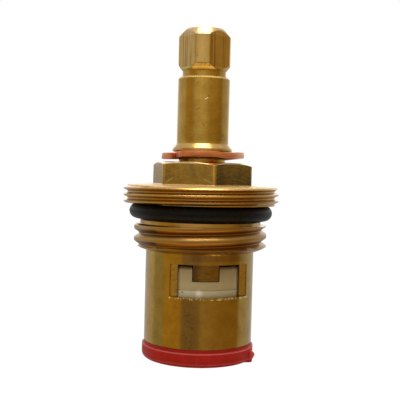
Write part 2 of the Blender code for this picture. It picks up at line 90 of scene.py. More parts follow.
# %% [markdown]
# ## Turned skins
# A lathe makes a surface whose section is the same at every heading. Blender's Screw modifier
# does that, but a thread, a hexagon and a moulding nub all change with the heading. So a
# piece here is a function that gives its section at any heading, as a list of (radius, height)
# points, and one helper joins neighbouring sections with faces. The sections always have as
# many points, and points that fall together are merged. The last section is the first one
# again, a full turn on: a thread has climbed by one pitch there and meets itself.

# %% Skin of sections
MERGE_DISTANCE = 0.0004


def join_sections(bm, columns, closed=True):
    """Faces between neighbouring columns of points, also from the last point to the first."""
    for near, far in zip(columns, columns[1:]):
        count = len(near)
        for i in range(count if closed else count - 1):
            j = (i + 1) % count
            bm.faces.new((near[i], near[j], far[j], far[i]))


def skin(name, section_at, headings, closed=True, sharp=38.0):
    """Object whose section at each heading is section_at(heading), listed from the top down
    the outside. A closed section makes a ring, and an open one starts and ends on the axis."""
    bm = bmesh.new()
    columns = []
    for heading in [*headings, headings[0] + 360.0]:
        column = [bm.verts.new(on_circle(r, heading, z)) for r, z in section_at(heading)]
        columns.append(column)
    join_sections(bm, columns, closed)
    return settled(name, bm, sharp)


def settled(name, bm, sharp):
    """Turn a bmesh in millimetres into a smooth object in metres, its doubled points merged."""
    bmesh.ops.remove_doubles(bm, verts=bm.verts, dist=MERGE_DISTANCE)
    bmesh.ops.dissolve_degenerate(bm, edges=bm.edges, dist=MERGE_DISTANCE)
    bmesh.ops.recalc_face_normals(bm, faces=bm.faces)
    bmesh.ops.scale(bm, vec=(MM, MM, MM), verts=bm.verts)
    mesh = bpy.data.meshes.new(name)
    bm.to_mesh(mesh)
    bm.free()
    mesh.shade_smooth()
    mesh.set_sharp_from_angle(angle=math.radians(sharp))
    piece = bpy.data.objects.new(name, mesh)
    bpy.context.scene.collection.objects.link(piece)
    print(f"{name}: {len(mesh.polygons)} faces")
    return piece


def headings_round(count, extra=()):
    """Even headings round a full turn, with extra ones added where an edge needs a point."""
    headings = [360.0 * i / count for i in range(count)]
    for heading in extra:
        turned = heading % 360.0
        if all(abs(turned - other) > 0.02 for other in headings):
            headings.append(turned)
    return sorted(headings)


def eased(points, size, closed=False):
    """The same outline with its corners cut and rounded by about the size."""
    result = []
    count = len(points)
    for i, (r, z) in enumerate(points):
        if not closed and i in (0, count - 1):
            result.append((r, z))
            continue
        corner = Vector((r, z))
        before = Vector(points[i - 1]) - corner
        after = Vector(points[(i + 1) % count]) - corner
        back = before.normalized() * min(size, before.length * 0.4)
        on = after.normalized() * min(size, after.length * 0.4)
        middle = corner + (back + on) * 0.25
        result += [tuple(corner + back), tuple(middle), tuple(corner + on)]
    return result


# %% [markdown]
# ## Screw threads
# A thread is a ridge that climbs as it goes round. At one heading it is a row of V notches,
# and each turn of the heading lifts the row by one pitch. The rows of points follow the
# ridge, so its crest stays a clean line. Where a row runs past the end of the threaded
# length, it is held at the end, and the merge removes what falls together: the ridge then
# runs out as it does under a real cutting tool. Both threads are right-handed.

# %% Threads
LEFT_SIDE = -103.8


def ramp(stops):
    """Function that runs straight between (height, value) stops, listed from low to high."""
    def value_at(height):
        for (low, near), (high, far) in zip(stops, stops[1:]):
            if height <= high:
                return blend(near, far, max(height - low, 0.0) / (high - low))
        return stops[-1][1]
    return value_at


class Thread:
    """A right-handed thread cut into a blank, which is a list of (height, radius) stops.

    The crest and the floor of the groove are flat for a share of the pitch on either side.
    Above the end height nothing is cut."""

    def __init__(self, pitch, crest, root, crest_share, root_share, crest_height, blank, end):
        self.pitch = pitch
        self.crest = crest
        self.root = root
        self.crest_share = crest_share
        self.root_share = root_share
        self.start = crest_height - pitch * LEFT_SIDE / 360.0
        self.blank = ramp(blank)
        self.corners = [height for height, radius in blank[1:-1]] + [end, end + 0.05]
        self.cut = ramp([(end, 1.0), (end + 0.05, 0.0)])
        floor = 0.5 - root_share
        self.shares = (-crest_share, -crest_share * 0.6, crest_share * 0.6, crest_share,
                       floor, 0.5 - root_share * 0.55, 0.5 + root_share * 0.55, 1.0 - floor)

    def radius(self, height, heading):
        """Radius of the cut at a height and heading, within what the blank has there."""
        share = ((height - self.start) / self.pitch - heading / 360.0) % 1.0
        from_crest = min(share, 1.0 - share)
        floor = 0.5 - self.root_share
        straight = min(max((from_crest - self.crest_share) / (floor - self.crest_share), 0.0), 1.0)
        rounding = 0.035 * smooth_step(self.crest_share * 0.6, self.crest_share, from_crest)
        filling = 0.04 * smooth_step(0.5 - self.root_share * 0.55, floor, from_crest)
        depth = blend(rounding, self.crest - self.root - filling, straight)
        return min(self.blank(height), self.crest - depth * self.cut(height))

    def rows(self, heading, high, low):
        """Points from high to low at one heading. Their number doesn't depend on it."""
        heights = list(self.corners)
        first = math.ceil((high - self.start) / self.pitch) + 1
        last = math.floor((low - self.start) / self.pitch) - 2
        for turn in range(first, last, -1):
            for share in self.shares:
                heights.append(self.start + self.pitch * (turn + share + heading / 360.0))
        held = sorted((min(max(height, low), high) for height in heights), reverse=True)
        return [(self.radius(height, heading), height) for height in held]


FLANGE_TOP = 26.8
FLANGE_UNDER = 24.05
FLANGE_PITCH = 1.0
LOWER_TOP = 21.45
LOWER_CUT_TOP = 20.9
LOWER_END = 16.8
LOWER_PITCH = 1.814
LOWER_CREST = 10.37
TUBE_RADIUS = 8.45

flange_blank = [(FLANGE_UNDER, 11.85), (24.25, 12.1), (26.5, 12.15), (FLANGE_TOP, 11.85)]
lower_blank = [(LOWER_END, TUBE_RADIUS), (17.05, 9.2), (17.3, 9.8), (17.65, LOWER_CREST),
               (LOWER_CUT_TOP, LOWER_CREST), (20.96, 9.46), (LOWER_TOP, 9.42)]
flange_thread = Thread(pitch=FLANGE_PITCH, crest=flange_radius + 0.14, root=11.52, crest_share=0.11,
                       root_share=0.12, crest_height=26.27, blank=flange_blank, end=FLANGE_TOP)
lower_thread = Thread(pitch=LOWER_PITCH, crest=LOWER_CREST, root=9.6, crest_share=0.16,
                      root_share=0.06, crest_height=20.24, blank=lower_blank, end=LOWER_CUT_TOP)

# %% [markdown]
# ## The brass body
# The real body is turned from bar, so it is one skin here too: the top face and the hexagon,
# the flange with its thread, the groove of the black ring, the lower thread, the thin tube,
# and the bore back up inside. The hexagon's faces cut the turned chamfer in six low arches.
# The height where chamfer and face meet is worked out at each heading, so the arches are
# exact. The two windows are side cuts, and a Boolean takes them out at the end, because
# their edges follow neither the headings nor the heights.

# %% Body section
HEX_FLAT = 7.0
HEX_CORNER = 8.02
HEX_BASE = hexagon_top - 3.45
HEX_CHAMFER = math.tan(math.radians(22.5))
BORE_RADIUS = 4.85
CHAMBER_RADIUS = 7.65
RING_SEAT_RADIUS = 8.7
SHOULDER = 18.9
corner_turn = 30.0 - math.degrees(math.acos(HEX_FLAT / HEX_CORNER))


def hexagon_radius(heading):
    """Distance from the axis to the hexagon's surface. A corner points at each window."""
    from_face = (heading % 60.0) - 30.0
    return min(HEX_FLAT / math.cos(math.radians(from_face)), HEX_CORNER)


def body_section(heading):
    side = hexagon_radius(heading)
    chamfer_foot = hexagon_top - 0.05 - (side - HEX_FLAT) * HEX_CHAMFER
    rim = flange_thread.radius(FLANGE_TOP, heading)
    under = flange_thread.radius(FLANGE_UNDER, heading)
    ring_top = lower_thread.radius(LOWER_TOP, heading)
    top = [
        (BORE_RADIUS, hexagon_top - 0.3),
        (BORE_RADIUS + 0.3, hexagon_top),
        (HEX_FLAT - 0.12, hexagon_top),
        (side, chamfer_foot),
        (side, HEX_BASE + 0.04),
        (side + 0.06, HEX_BASE - 0.02),
        (8.25, HEX_BASE - 0.03),
        (rim - 0.15, FLANGE_TOP + 0.02),
        (rim, FLANGE_TOP),
    ]
    seat = [
        (under, FLANGE_UNDER),
        (RING_SEAT_RADIUS, FLANGE_UNDER),
        (RING_SEAT_RADIUS, LOWER_TOP),
        (ring_top, LOWER_TOP),
    ]
    tube = [
        (TUBE_RADIUS, LOWER_END),
        (TUBE_RADIUS, tube_end),
        (CHAMBER_RADIUS, tube_end),
        (CHAMBER_RADIUS, SHOULDER),
        (BORE_RADIUS, SHOULDER),
    ]
    section = eased(top, 0.07)
    section += flange_thread.rows(heading, FLANGE_TOP, FLANGE_UNDER)
    section += eased(seat, 0.06)
    section += lower_thread.rows(heading, LOWER_TOP, LOWER_END)
    section += eased(tube, 0.08)
    return section


corner_headings = [60.0 * i + side * corner_turn for i in range(6) for side in (-1.0, 1.0)]
body = skin("brass_body", body_section, headings_round(288, corner_headings))

# %% [markdown]
# ## Windows in the tube
# A milling cutter comes in from the side and takes a flat slice off the tube's wall at the
# front and at the back. Water leaves there. A box does the same here, as the tool of a
# Boolean modifier that is applied at once.

# %% Window cuts
WINDOW_SILL = 10.4
WINDOW_TOP = 15.3
WINDOW_FLAT = 6.03


def box_mesh(name, low, high):
    """Plain box between two corners in millimetres, for cutting or joining."""
    bm = bmesh.new()
    bmesh.ops.create_cube(bm, size=1.0)
    size = Vector(high) - Vector(low)
    middle = (Vector(high) + Vector(low)) / 2
    bmesh.ops.scale(bm, vec=size, verts=bm.verts)
    bmesh.ops.translate(bm, vec=middle, verts=bm.verts)
    return settled(name, bm, 30.0)


def apply_modifiers(piece):
    """Keep what the modifiers make as the piece's own mesh."""
    bpy.context.view_layer.update()
    evaluated = piece.evaluated_get(bpy.context.evaluated_depsgraph_get())
    mesh = bpy.data.meshes.new_from_object(evaluated)
    piece.modifiers.clear()
    piece.data = mesh


def even_shading(piece):
    """Let the large faces set the normals, so that narrow eased edges don't tilt them."""
    modifier = piece.modifiers.new("even_shading", "WEIGHTED_NORMAL")
    modifier.weight = 100
    modifier.keep_sharp = True
    apply_modifiers(piece)


def combine(piece, operation, tool, sharp=38.0):
    """Cut, join or cross a piece with a tool, which is used up."""
    modifier = piece.modifiers.new(tool.name, "BOOLEAN")
    modifier.operation = operation
    modifier.solver = "EXACT"
    modifier.object = tool
    apply_modifiers(piece)
    piece.data.set_sharp_from_angle(angle=math.radians(sharp))
    bpy.data.objects.remove(tool)


for side in (-1.0, 1.0):
    edges = sorted((side * WINDOW_FLAT, side * 10.0))
    cutter = box_mesh("window_cut", (-10.0, edges[0], WINDOW_SILL), (10.0, edges[1], WINDOW_TOP))
    combine(body, "DIFFERENCE", cutter)
even_shading(body)
print("body after the windows:", len(body.data.polygons), "faces")

# %% [markdown]
# ## The spindle
# Another turned piece. Its head is milled to four flats, which leaves four narrow strips of
# the round bar between them. The top chamfer and the neck's cone meet the flats in arcs, and
# their heights are worked out as on the hexagon. The flat headings get a point of their own,
# so that the strips have straight edges.

# %% Spindle section
STRIP_HEADING = -18.8
HEAD_FLAT = 3.57
STEM_RADIUS = 4.1
HEAD_SHOULDER = head_top - 1.4
HEAD_RIM = 3.28
HEAD_SLOPE = (head_top - 0.22 - HEAD_SHOULDER) / (STEM_RADIUS - HEAD_RIM)
HEAD_FOOT = 45.55
GROOVE_TOP = 44.65
GROOVE_FOOT = 43.7
GROOVE_RADIUS = 3.45
SHAFT_TOP = 43.36
FLARE_TOP = 33.45
FLARE_FOOT = 32.62
COLLAR_Z = 32.1
COLLAR_RADIUS = 4.75
NECK_RADIUS = 3.65
DRIVE_TOP = 18.1
DRIVE_Z = 15.3
DRIVE_RADIUS = 5.85
strip_half = 45.0 - math.degrees(math.acos(HEAD_FLAT / STEM_RADIUS))


def head_radius(heading):
    """Distance from the axis to the head's surface: a flat, or the bar between two flats."""
    from_flat = (heading - STRIP_HEADING) % 90.0 - 45.0
    return min(HEAD_FLAT / math.cos(math.radians(from_flat)), STEM_RADIUS)


def spindle_section(heading):
    side = head_radius(heading)
    cone = (STEM_RADIUS - GROOVE_RADIUS) / (HEAD_FOOT - GROOVE_TOP)
    top = [
        (0.0, head_top - 8.8),
        (1.65, head_top - 8.0),
        (1.65, head_top - 0.35),
        (2.0, head_top),
        (2.7, head_top),
        (HEAD_RIM, head_top - 0.22),
        (side, head_top - 0.22 - (side - HEAD_RIM) * HEAD_SLOPE),
        (side, GROOVE_TOP + (side - GROOVE_RADIUS) / cone),
        (GROOVE_RADIUS, GROOVE_TOP),
        (GROOVE_RADIUS, GROOVE_FOOT),
        (STEM_RADIUS - 0.35, GROOVE_FOOT),
        (STEM_RADIUS, SHAFT_TOP),
    ]
    flare = [
        (STEM_RADIUS, FLARE_TOP + 0.4),
        (STEM_RADIUS, FLARE_TOP),
        (COLLAR_RADIUS, FLARE_FOOT),
        (COLLAR_RADIUS, COLLAR_Z + 0.3),
    ]
    foot_part = [
        (COLLAR_RADIUS, COLLAR_Z + 0.2),
        (COLLAR_RADIUS - 0.25, COLLAR_Z),
        (NECK_RADIUS, COLLAR_Z),
        (NECK_RADIUS, hexagon_top - 0.2),
        (COLLAR_RADIUS, hexagon_top - 0.2),
        (COLLAR_RADIUS, DRIVE_TOP),
        (DRIVE_RADIUS, DRIVE_TOP),
        (DRIVE_RADIUS, DRIVE_Z),
        (0.0, DRIVE_Z),
    ]
    return eased(top, 0.09) + eased(flare, 0.2) + eased(foot_part, 0.06)


strip_headings = [STRIP_HEADING + 90.0 * i + side * strip_half for i in range(4) for side in (-1.0, 1.0)]
spindle = skin("square_headed_spindle", spindle_section, headings_round(144, strip_headings),
               closed=False)

# %% [markdown]
# ## The tongue that turns the disc
# At its foot the spindle has a bar right across, which sits in the upper disc's slot. It
# shows in the windows as the brown block in the notch of the ceramic.

# %% Drive tongue
TONGUE_HEADING = -5.5
TONGUE_HALF_WIDTH = 1.95
TONGUE_LOW = 12.8
DISC_RADIUS = 7.4


def bar_prism(name, half_width, radius, heading, low, high, easing, sharp=30.0):
    """Bar across the axis with round ends, extruded from low to high, its edges eased."""
    half_turn = math.degrees(math.asin(half_width / radius))
    bm = bmesh.new()
    steps = 12
    rim = []
    for end in (0.0, 180.0):
        for i in range(steps + 1):
            turn = heading + end + blend(-half_turn, half_turn, i / steps)
            rim.append(bm.verts.new(on_circle(radius, turn, low)))
    face = bm.faces.new(rim)
    lifted = bmesh.ops.extrude_face_region(bm, geom=[face])
    risen = [item for item in lifted["geom"] if isinstance(item, bmesh.types.BMVert)]
    bmesh.ops.translate(bm, vec=(0.0, 0.0, high - low), verts=risen)
    if easing:
        bmesh.ops.recalc_face_normals(bm, faces=bm.faces)
        edges = [edge for edge in bm.edges if edge.calc_face_angle(0.0) > math.radians(35.0)]
        bmesh.ops.bevel(bm, geom=edges, offset=easing, segments=2, profile=0.5, affect="EDGES")
    return settled(name, bm, sharp)


tongue = bar_prism("drive_tongue", TONGUE_HALF_WIDTH, DISC_RADIUS, TONGUE_HEADING,
                   TONGUE_LOW, DRIVE_Z + 0.3, 0.07)
combine(spindle, "UNION", tongue)
even_shading(spindle)

# %% [markdown]
# ## Ceramic discs
# The two discs are pressed from white powder, fired, and lapped flat on the faces that slide
# on each other. Their outer edges keep the soft radius of the mould. The upper disc has the
# slot for the tongue. A Bevel modifier rounds the slot's edges after the cut, and it leaves
# alone what is already smooth.

# %% Discs
LOWER_DISC = (7.7, 11.39)
UPPER_DISC = (11.41, 14.95)


def rim_round(height, edge, turns, way):
    """Quarter round at a disc's rim. The way is 1 at the top edge and -1 at the bottom one."""
    points = []
    for turn in turns:
        out = DISC_RADIUS - edge * (1.0 - math.cos(turn))
        points.append((out, height - way * edge * (1.0 - math.sin(turn))))
    return points


def disc_section(low, high, low_edge, high_edge):
    """Half section of a round disc with rounded rims, from the top's centre down."""
    outwards = [math.radians(90.0 - 90.0 * i / 7) for i in range(8)]
    inwards = [math.radians(90.0 * i / 7) for i in range(8)]
    top_rim = rim_round(high, high_edge, outwards, 1.0)
    bottom_rim = rim_round(low, low_edge, inwards, -1.0)
    return [(0.0, high), *top_rim, *bottom_rim, (0.0, low)]


def disc(name, span, low_edge, high_edge):
    section = disc_section(*span, low_edge, high_edge)
    return skin(name, lambda heading: section, headings_round(128), closed=False)


def ease_edges(piece, width, angle=50.0):
    """Round the sharp edges of a piece by a width in millimetres."""
    modifier = piece.modifiers.new("eased", "BEVEL")
    modifier.width = width * MM
    modifier.segments = 3
    modifier.limit_method = "ANGLE"
    modifier.angle_limit = math.radians(angle)
    modifier.use_clamp_overlap = True
    apply_modifiers(piece)
    piece.data.shade_smooth()
    piece.data.set_sharp_from_angle(angle=math.radians(40.0))


fixed_disc = disc("fixed_ceramic_disc", LOWER_DISC, 0.3, 0.12)
turning_disc = disc("turning_ceramic_disc", UPPER_DISC, 0.06, 0.75)
slot = bar_prism("slot_cut", TONGUE_HALF_WIDTH + 0.12, DISC_RADIUS + 1.0, TONGUE_HEADING,
                 TONGUE_LOW - 0.12, UPPER_DISC[1] + 1.0, 0.0)
combine(turning_disc, "DIFFERENCE", slot)
ease_edges(turning_disc, 0.16)

# %% [markdown]
# ## The black rubber ring
# An O-ring is moulded in two halves, so a thin flash line runs round its outside where the
# mould parts. It is never quite even either: it swells and sinks a little where it has sat.
# Its section is a circle with a small ridge on the equator.

# %% Flange ring
ring_low, ring_high, ring_outside = reach("flange_o_ring")
RING_SECTION = (ring_high - ring_low) / 2
RING_MIDDLE = (ring_high + ring_low) / 2


def ring_section_at(heading):
    """Round section with a flash line, a little uneven along the ring."""
    place = on_circle(1.0, heading, 0.0)
    swell = 1.0 + 0.012 * noise.noise(place * 2.3)
    sag = 0.03 * noise.noise(place * 1.1 + Vector((5.0, 0.0, 0.0)))
    points = []
    steps = 30
    for i in range(steps):
        turn = 90.0 - 360.0 * i / steps
        flash = 0.03 * max(0.0, 1.0 - abs(((turn + 180.0) % 360.0) - 180.0) / 7.0)
        out = RING_SECTION * swell * 0.985 + flash
        r = ring_outside - RING_SECTION * 1.01 + out * math.cos(math.radians(turn))
        points.append((r, RING_MIDDLE + sag + out * math.sin(math.radians(turn))))
    return points


flange_ring = skin("flange_rubber_ring", ring_section_at, headings_round(200), sharp=70.0)

# %% [markdown]
# ## The red base seal
# The seal is silicone rubber, moulded with a thick lip that the tube stands on. Between lip
# and tube a narrow neck shows as a darker line. On the right, the moulding has left a nub
# where the rubber entered: it is pulled out of the lip as a soft corner, so it is a part of
# the section function and not a separate lump.

# %% Base seal
LIP_RADIUS = 8.72
LIP_TOP = 2.2
NECK_TOP = 2.71
SEAL_TOP = 7.6
SEAL_BORE = 5.9
NUB_HEADING = 55.0
NUB_REACH = 0.74


def nub_pull(heading, height):
    """How far the nub stands out of the lip at a heading and a height."""
    away = abs((heading - NUB_HEADING + 180.0) % 360.0 - 180.0) * math.radians(1.0) * LIP_RADIUS
    ridge = smooth_step(blend(1.25, 0.7, height / LIP_TOP), 0.1, away)
    rise = smooth_step(1.95, 1.3, height) * blend(0.42, 1.0, smooth_step(0.1, 1.3, height))
    return NUB_REACH * ridge * rise


def seal_section(heading):
    uneven = 0.025 * noise.noise(on_circle(1.0, heading, 0.0) * 2.0)
    lip = LIP_RADIUS + uneven
    outline = [
        (SEAL_BORE + 0.3, SEAL_TOP),
        (DISC_RADIUS - 0.3, SEAL_TOP),
        (DISC_RADIUS, SEAL_TOP - 0.3),
        (DISC_RADIUS, NECK_TOP),
        (TUBE_RADIUS - 0.08, NECK_TOP),
        (TUBE_RADIUS - 0.05, LIP_TOP - 0.02),
        (lip - 0.09, LIP_TOP),
    ]
    side = []
    heights = [2.15, 2.05, 1.9, 1.8, 1.7, 1.5, 1.3, 1.1, 0.9, 0.7, 0.5, 0.34, 0.2, 0.09, 0.02]
    for height in heights:
        drop = max(0.0, 0.85 - height) / 0.85
        round_off = 0.85 * (1.0 - math.sqrt(max(0.0, 1.0 - drop * drop)))
        pull = nub_pull(heading, height)
        soften = 1.0 - min(pull / 0.3, 1.0)
        side.append((lip - round_off * soften + pull, height))
    inside = [
        (SEAL_BORE + 0.3, 0.0),
        (SEAL_BORE, 0.3),
        (SEAL_BORE, SEAL_TOP - 0.3),
    ]
    return eased(outline, 0.06) + side + eased(inside, 0.05)


nub_headings = [NUB_HEADING + 0.5 * i for i in range(-20, 21)]
base_seal = skin("red_base_seal", seal_section, headings_round(240, nub_headings), sharp=75.0)

# %% [markdown]
# ## The copper clip
# A flat copper ring is opened, slipped round the spindle's groove and squeezed shut again
# with pliers. It never comes out flat: the left end hangs low, the front end stands high, and
# the right side dips. So it is a strip with a rectangular section that follows the heading
# from one end of the split to the other, and its height and radius wander on the way.

# %% Copper clip
clip_low, clip_high, clip_radius = reach("retaining_clip")
CLIP_MIDDLE = (clip_low + clip_high) / 2
CLIP_THICK = 0.95
CLIP_INSIDE = 3.78
SPLIT_START = -61.0
SPLIT_END = 360.0 - 62.0
TAPER_END = -40.0
clip_lift = [(-61.0, 0.05), (-36.0, 0.13), (0.0, 0.14), (10.0, 0.12), (24.0, 0.1), (60.0, 0.12),
             (110.0, 0.12), (180.0, 0.02), (240.0, -0.05), (285.0, -0.07), (304.0, -0.06)]
clip_tilt = [(-61.0, 0.06), (-36.0, 0.13), (2.0, 0.12), (22.0, -0.02), (45.0, 0.1), (80.0, 0.2),
             (120.0, 0.15), (240.0, -0.06), (304.0, -0.05)]


def along_clip(stops, heading):
    """Value at a heading from (heading, value) stops, with a soft change between them."""
    for (near, low), (far, high) in zip(stops, stops[1:]):
        if heading <= far:
            return blend(low, high, smooth_step(near, far, heading))
    return stops[-1][1]


def clip_section(heading, inset):
    """Rounded rectangle at a heading, drawn in by the inset near the strip's ends."""
    off_centre = 0.13 * math.sin(math.radians(heading))
    taper = 0.85 * smooth_step(TAPER_END, SPLIT_START - 6.0, heading)
    outside = clip_radius - 0.15 + off_centre - inset - taper
    inside = CLIP_INSIDE + inset * 0.5
    half = CLIP_THICK / 2 - inset * 0.6
    corners = [(inside, half), (outside, half), (outside, -half), (inside, -half)]
    middle_radius = (clip_radius + CLIP_INSIDE) / 2
    slope = along_clip(clip_tilt, heading) / (clip_radius - middle_radius)
    level = CLIP_MIDDLE + along_clip(clip_lift, heading)
    return [(r, level + z + slope * (r - middle_radius)) for r, z in eased(corners, 0.13, closed=True)]


def copper_clip():
    """Strip of copper from one end of the split round to the other, with rounded ends."""
    bm = bmesh.new()
    count = 150
    stations = [(SPLIT_START, 0.22), (SPLIT_START + 0.5, 0.07), (SPLIT_START + 1.6, 0.0)]
    stations += [(blend(SPLIT_START + 3.0, SPLIT_END - 3.0, i / count), 0.0) for i in range(count + 1)]
    stations += [(SPLIT_END - 1.6, 0.0), (SPLIT_END - 0.5, 0.07), (SPLIT_END, 0.22)]
    rings = []
    for heading, inset in stations:
        rings.append([bm.verts.new(on_circle(r, heading, z)) for r, z in clip_section(heading, inset)])
    join_sections(bm, rings)
    bm.faces.new(rings[0])
    bm.faces.new(list(reversed(rings[-1])))
    return settled("copper_retaining_clip", bm, 40.0)


clip = copper_clip()

# %% [markdown]
# ## Writing shader maths as sums
# A material that varies needs many small nodes. One class wraps an output socket, so that a
# sum in Python adds its Math nodes, and one method makes every other kind of node from its
# type, its settings and what goes into its sockets.

# %% Signals
class Signal:
    """An output socket of a node tree, which takes part in sums as a number does."""

    def __init__(self, tree, socket=None):
        self.tree = tree
        self.socket = socket

    def node(self, kind, settings=None, inputs=None, output=0):
        """Add a node, with its settings first and then its sockets, and return one output."""
        made = self.tree.nodes.new(kind)
        for key, value in (settings or {}).items():
            if key == "stops":
                set_stops(made.color_ramp, value)
            else:
                setattr(made, key, value)
        for key, value in (inputs or {}).items():
            if isinstance(value, Signal):
                self.tree.links.new(value.socket, made.inputs[key])
            else:
                made.inputs[key].default_value = value
        return Signal(self.tree, made.outputs[output])

    def math(self, operation, first, second=0.0, clamp=False):
        settings = {"operation": operation, "use_clamp": clamp}
        return self.node("ShaderNodeMath", settings, {0: first, 1: second})

    def __add__(self, other):
        return self.math("ADD", self, other)

    def __sub__(self, other):
        return self.math("SUBTRACT", self, other)

    def __rsub__(self, other):
        return self.math("SUBTRACT", other, self)

    def __mul__(self, other):
        return self.math("MULTIPLY", self, other)

    def __truediv__(self, other):
        return self.math("DIVIDE", self, other)

    def __pow__(self, other):
        return self.math("POWER", self, other)

    __radd__ = __add__
    __rmul__ = __mul__

    def clamped(self):
        return self.math("ADD", self, 0.0, clamp=True)

    def between(self, low, high):
        """0 where the signal is at low, 1 where it is at high, held at both ends."""
        return ((self - low) / (high - low)).clamped()

    def mix(self, first, second):
        """Mix two colours by this signal, as its factor."""
        inputs = {0: self, 6: first, 7: second}
        return self.node("ShaderNodeMix", {"data_type": "RGBA"}, inputs, output=2)

    def axes(self):
        """The X, Y and Z signals of a place."""
        made = self.tree.nodes.new("ShaderNodeSeparateXYZ")
        self.tree.links.new(self.socket, made.inputs[0])
        return [Signal(self.tree, made.outputs[i]) for i in range(3)]

    def own_place(self):
        """The place on the piece, in its mesh's own metres."""
        return self.node("ShaderNodeTexCoord", output=3)


def set_stops(color_ramp, stops):
    """Fill a colour ramp from (position, colour) pairs."""
    while len(color_ramp.elements) < len(stops):
        color_ramp.elements.new(1.0)
    for element, (position, colour) in zip(color_ramp.elements, stops):
        element.position = position
        element.color = colour


def rgb(red, green, blue):
    return (red, green, blue, 1.0)


def node_material(name):
    """New material, and its node tree."""
    material = bpy.data.materials.new(name)
    material.use_nodes = True
    return material, material.node_tree


class Recipe:
    """A new material and the signals that its finish is worked out from.

    Positions are the mesh's own, in millimetres, so a pattern turns with its piece."""

    def __init__(self, name, **fixed):
        self.material, self.tree = node_material(name)
        self.shader = self.tree.nodes["Principled BSDF"]
        for socket, value in fixed.items():
            self.shader.inputs[socket.replace("_", " ")].default_value = value
        start = Signal(self.tree)
        inputs = {0: start.own_place(), 3: 1.0 / MM}
        self.place = start.node("ShaderNodeVectorMath", {"operation": "SCALE"}, inputs)
        self.x, self.y, self.z = self.place.axes()
        self.radius = (self.x * self.x + self.y * self.y) ** 0.5

    def vector(self, x, y, z):
        return Signal(self.tree).node("ShaderNodeCombineXYZ", None, {0: x, 1: y, 2: z})

    def noise(self, scale, detail=2.0, roughness=0.5, place=None):
        """Smooth noise from 0 to 1, with its scale in features per millimetre."""
        inputs = {"Vector": place or self.place, "Scale": scale, "Detail": detail,
                  "Roughness": roughness}
        return Signal(self.tree).node("ShaderNodeTexNoise", {"noise_dimensions": "3D"}, inputs)

    def bump(self, height, depth, strength=1.0, under=None):
        """Surface normal from a height signal, whose full range is depth in millimetres."""
        inputs = {"Strength": strength, "Distance": depth * MM, "Height": height}
        if under:
            inputs["Normal"] = under
        return Signal(self.tree).node("ShaderNodeBump", None, inputs)

    def wear(self, **signals):
        """Link signals to the shader's sockets by name."""
        for socket, signal in signals.items():
            self.tree.links.new(signal.socket, self.shader.inputs[socket.replace("_", " ")])
        return self.material


# %% [markdown]
# ## Old brass
# Brass is a metal, so its colour lies in what it reflects. This piece has been handled: the
# gold has gone brown in clouds, with darker spots, and the cutting tool has left fine rings
# on everything that was turned. The rings are a noise squeezed flat along the axis. On a
# face that lies across the axis they run round instead, so the noise is read at height plus
# radius, which changes across both kinds of face.
#
# A regions function then changes the finish by place: crests worn paler, stains, scratches
# and burrs, and a darker thread whose flanks are darker still on its left. Some of its regions
# are painted stand-ins for the light in the photograph, at places chosen for that view: part
# of the paleness of the crests, the collar and the head's chamfer, the painted shade on the
# flanks that face down, the shaded band under the lower thread, the pale top of the flange,
# the hexagon's top edge, the golden cone and groove foot under the head, the tongue's brown,
# which is partly age, its darker left and the dull band on the tube. They don't slide as real
# shading does when the camera or the light moves.

# %% Brass
BRIGHT_BRASS = rgb(0.42, 0.26, 0.055)
AGED_BRASS = rgb(0.30, 0.165, 0.030)
DARK_SPOTS = rgb(0.12, 0.07, 0.03)
THREAD_BRASS = rgb(0.40, 0.215, 0.060)
DARKER_THREAD = rgb(0.19, 0.095, 0.026)
CREST_WEAR_AND_HIGHLIGHT = rgb(0.52, 0.31, 0.10)
DOWN_FLANK_SHADE = rgb(0.31, 0.115, 0.010)
DARK_FLANK_HEADING = -52.0
FLANK_GREY = rgb(0.045, 0.028, 0.014)
STAIN_BROWN = rgb(0.13, 0.10, 0.05)
HEX_EDGE_HIGHLIGHT = rgb(0.78, 0.60, 0.32)
SHADED_BRASS = rgb(0.16, 0.07, 0.03)
SCRATCH_GOLD = rgb(0.80, 0.60, 0.30)
PALE_FLANGE = rgb(0.54, 0.37, 0.18)
SCUFF_BROWN = rgb(0.10, 0.06, 0.03)
MILLED_GOLD = rgb(0.62, 0.42, 0.10)
OUTLINE_BROWN = rgb(0.12, 0.065, 0.02)
CHIP_GOLD = rgb(1.0, 0.80, 0.42)
HEAD_BRASS = rgb(0.66, 0.48, 0.24)
GRAIN_BROWN = rgb(0.20, 0.12, 0.04)
CONE_GOLD = rgb(0.95, 0.66, 0.16)
GROOVE_BRASS = rgb(0.46, 0.32, 0.12)
SCRATCH_BROWN = rgb(0.06, 0.035, 0.01)
SCRATCH_PALE = rgb(1.0, 0.90, 0.60)
TONGUE_AGED_AND_SHADED = rgb(0.16, 0.08, 0.02)
TONGUE_SHADE = rgb(0.10, 0.03, 0.015)


def old_brass(name, ring_depth, regions):
    """Tarnished brass. The regions of one piece may change its colour and the relief's height."""
    recipe = Recipe(name, Metallic=1.0, Coat_Roughness=0.12)
    across = recipe.z + recipe.radius
    rings_place = recipe.vector(recipe.x * 0.25, recipe.y * 0.25, across * 9.0)
    rings = recipe.noise(1.0, 3.0, 0.6, rings_place)
    clouds = recipe.noise(0.55, 4.0, 0.62)
    fine = recipe.noise(3.2, 3.0, 0.6)
    spots = recipe.noise(2.1, 2.0, 0.4).between(0.68, 0.76)
    tarnish = (clouds.between(0.34, 0.70) * 0.7 + fine.between(0.40, 0.80) * 0.3).clamped()
    colour = tarnish.mix(BRIGHT_BRASS, AGED_BRASS)
    colour = (spots * 0.4).mix(colour, DARK_SPOTS)
    roughness = 0.1 + tarnish * 0.06 + rings * 0.04 + spots * 0.15
    colour, height, calm, coat, dull = regions(recipe, colour, rings)
    relief = recipe.bump(height, ring_depth, 0.5)
    relief = recipe.bump(fine * (1.0 - calm), 0.006, 0.3, relief)
    return recipe.wear(Base_Color=colour, Roughness=roughness + dull, Normal=relief, Coat_Weight=coat)


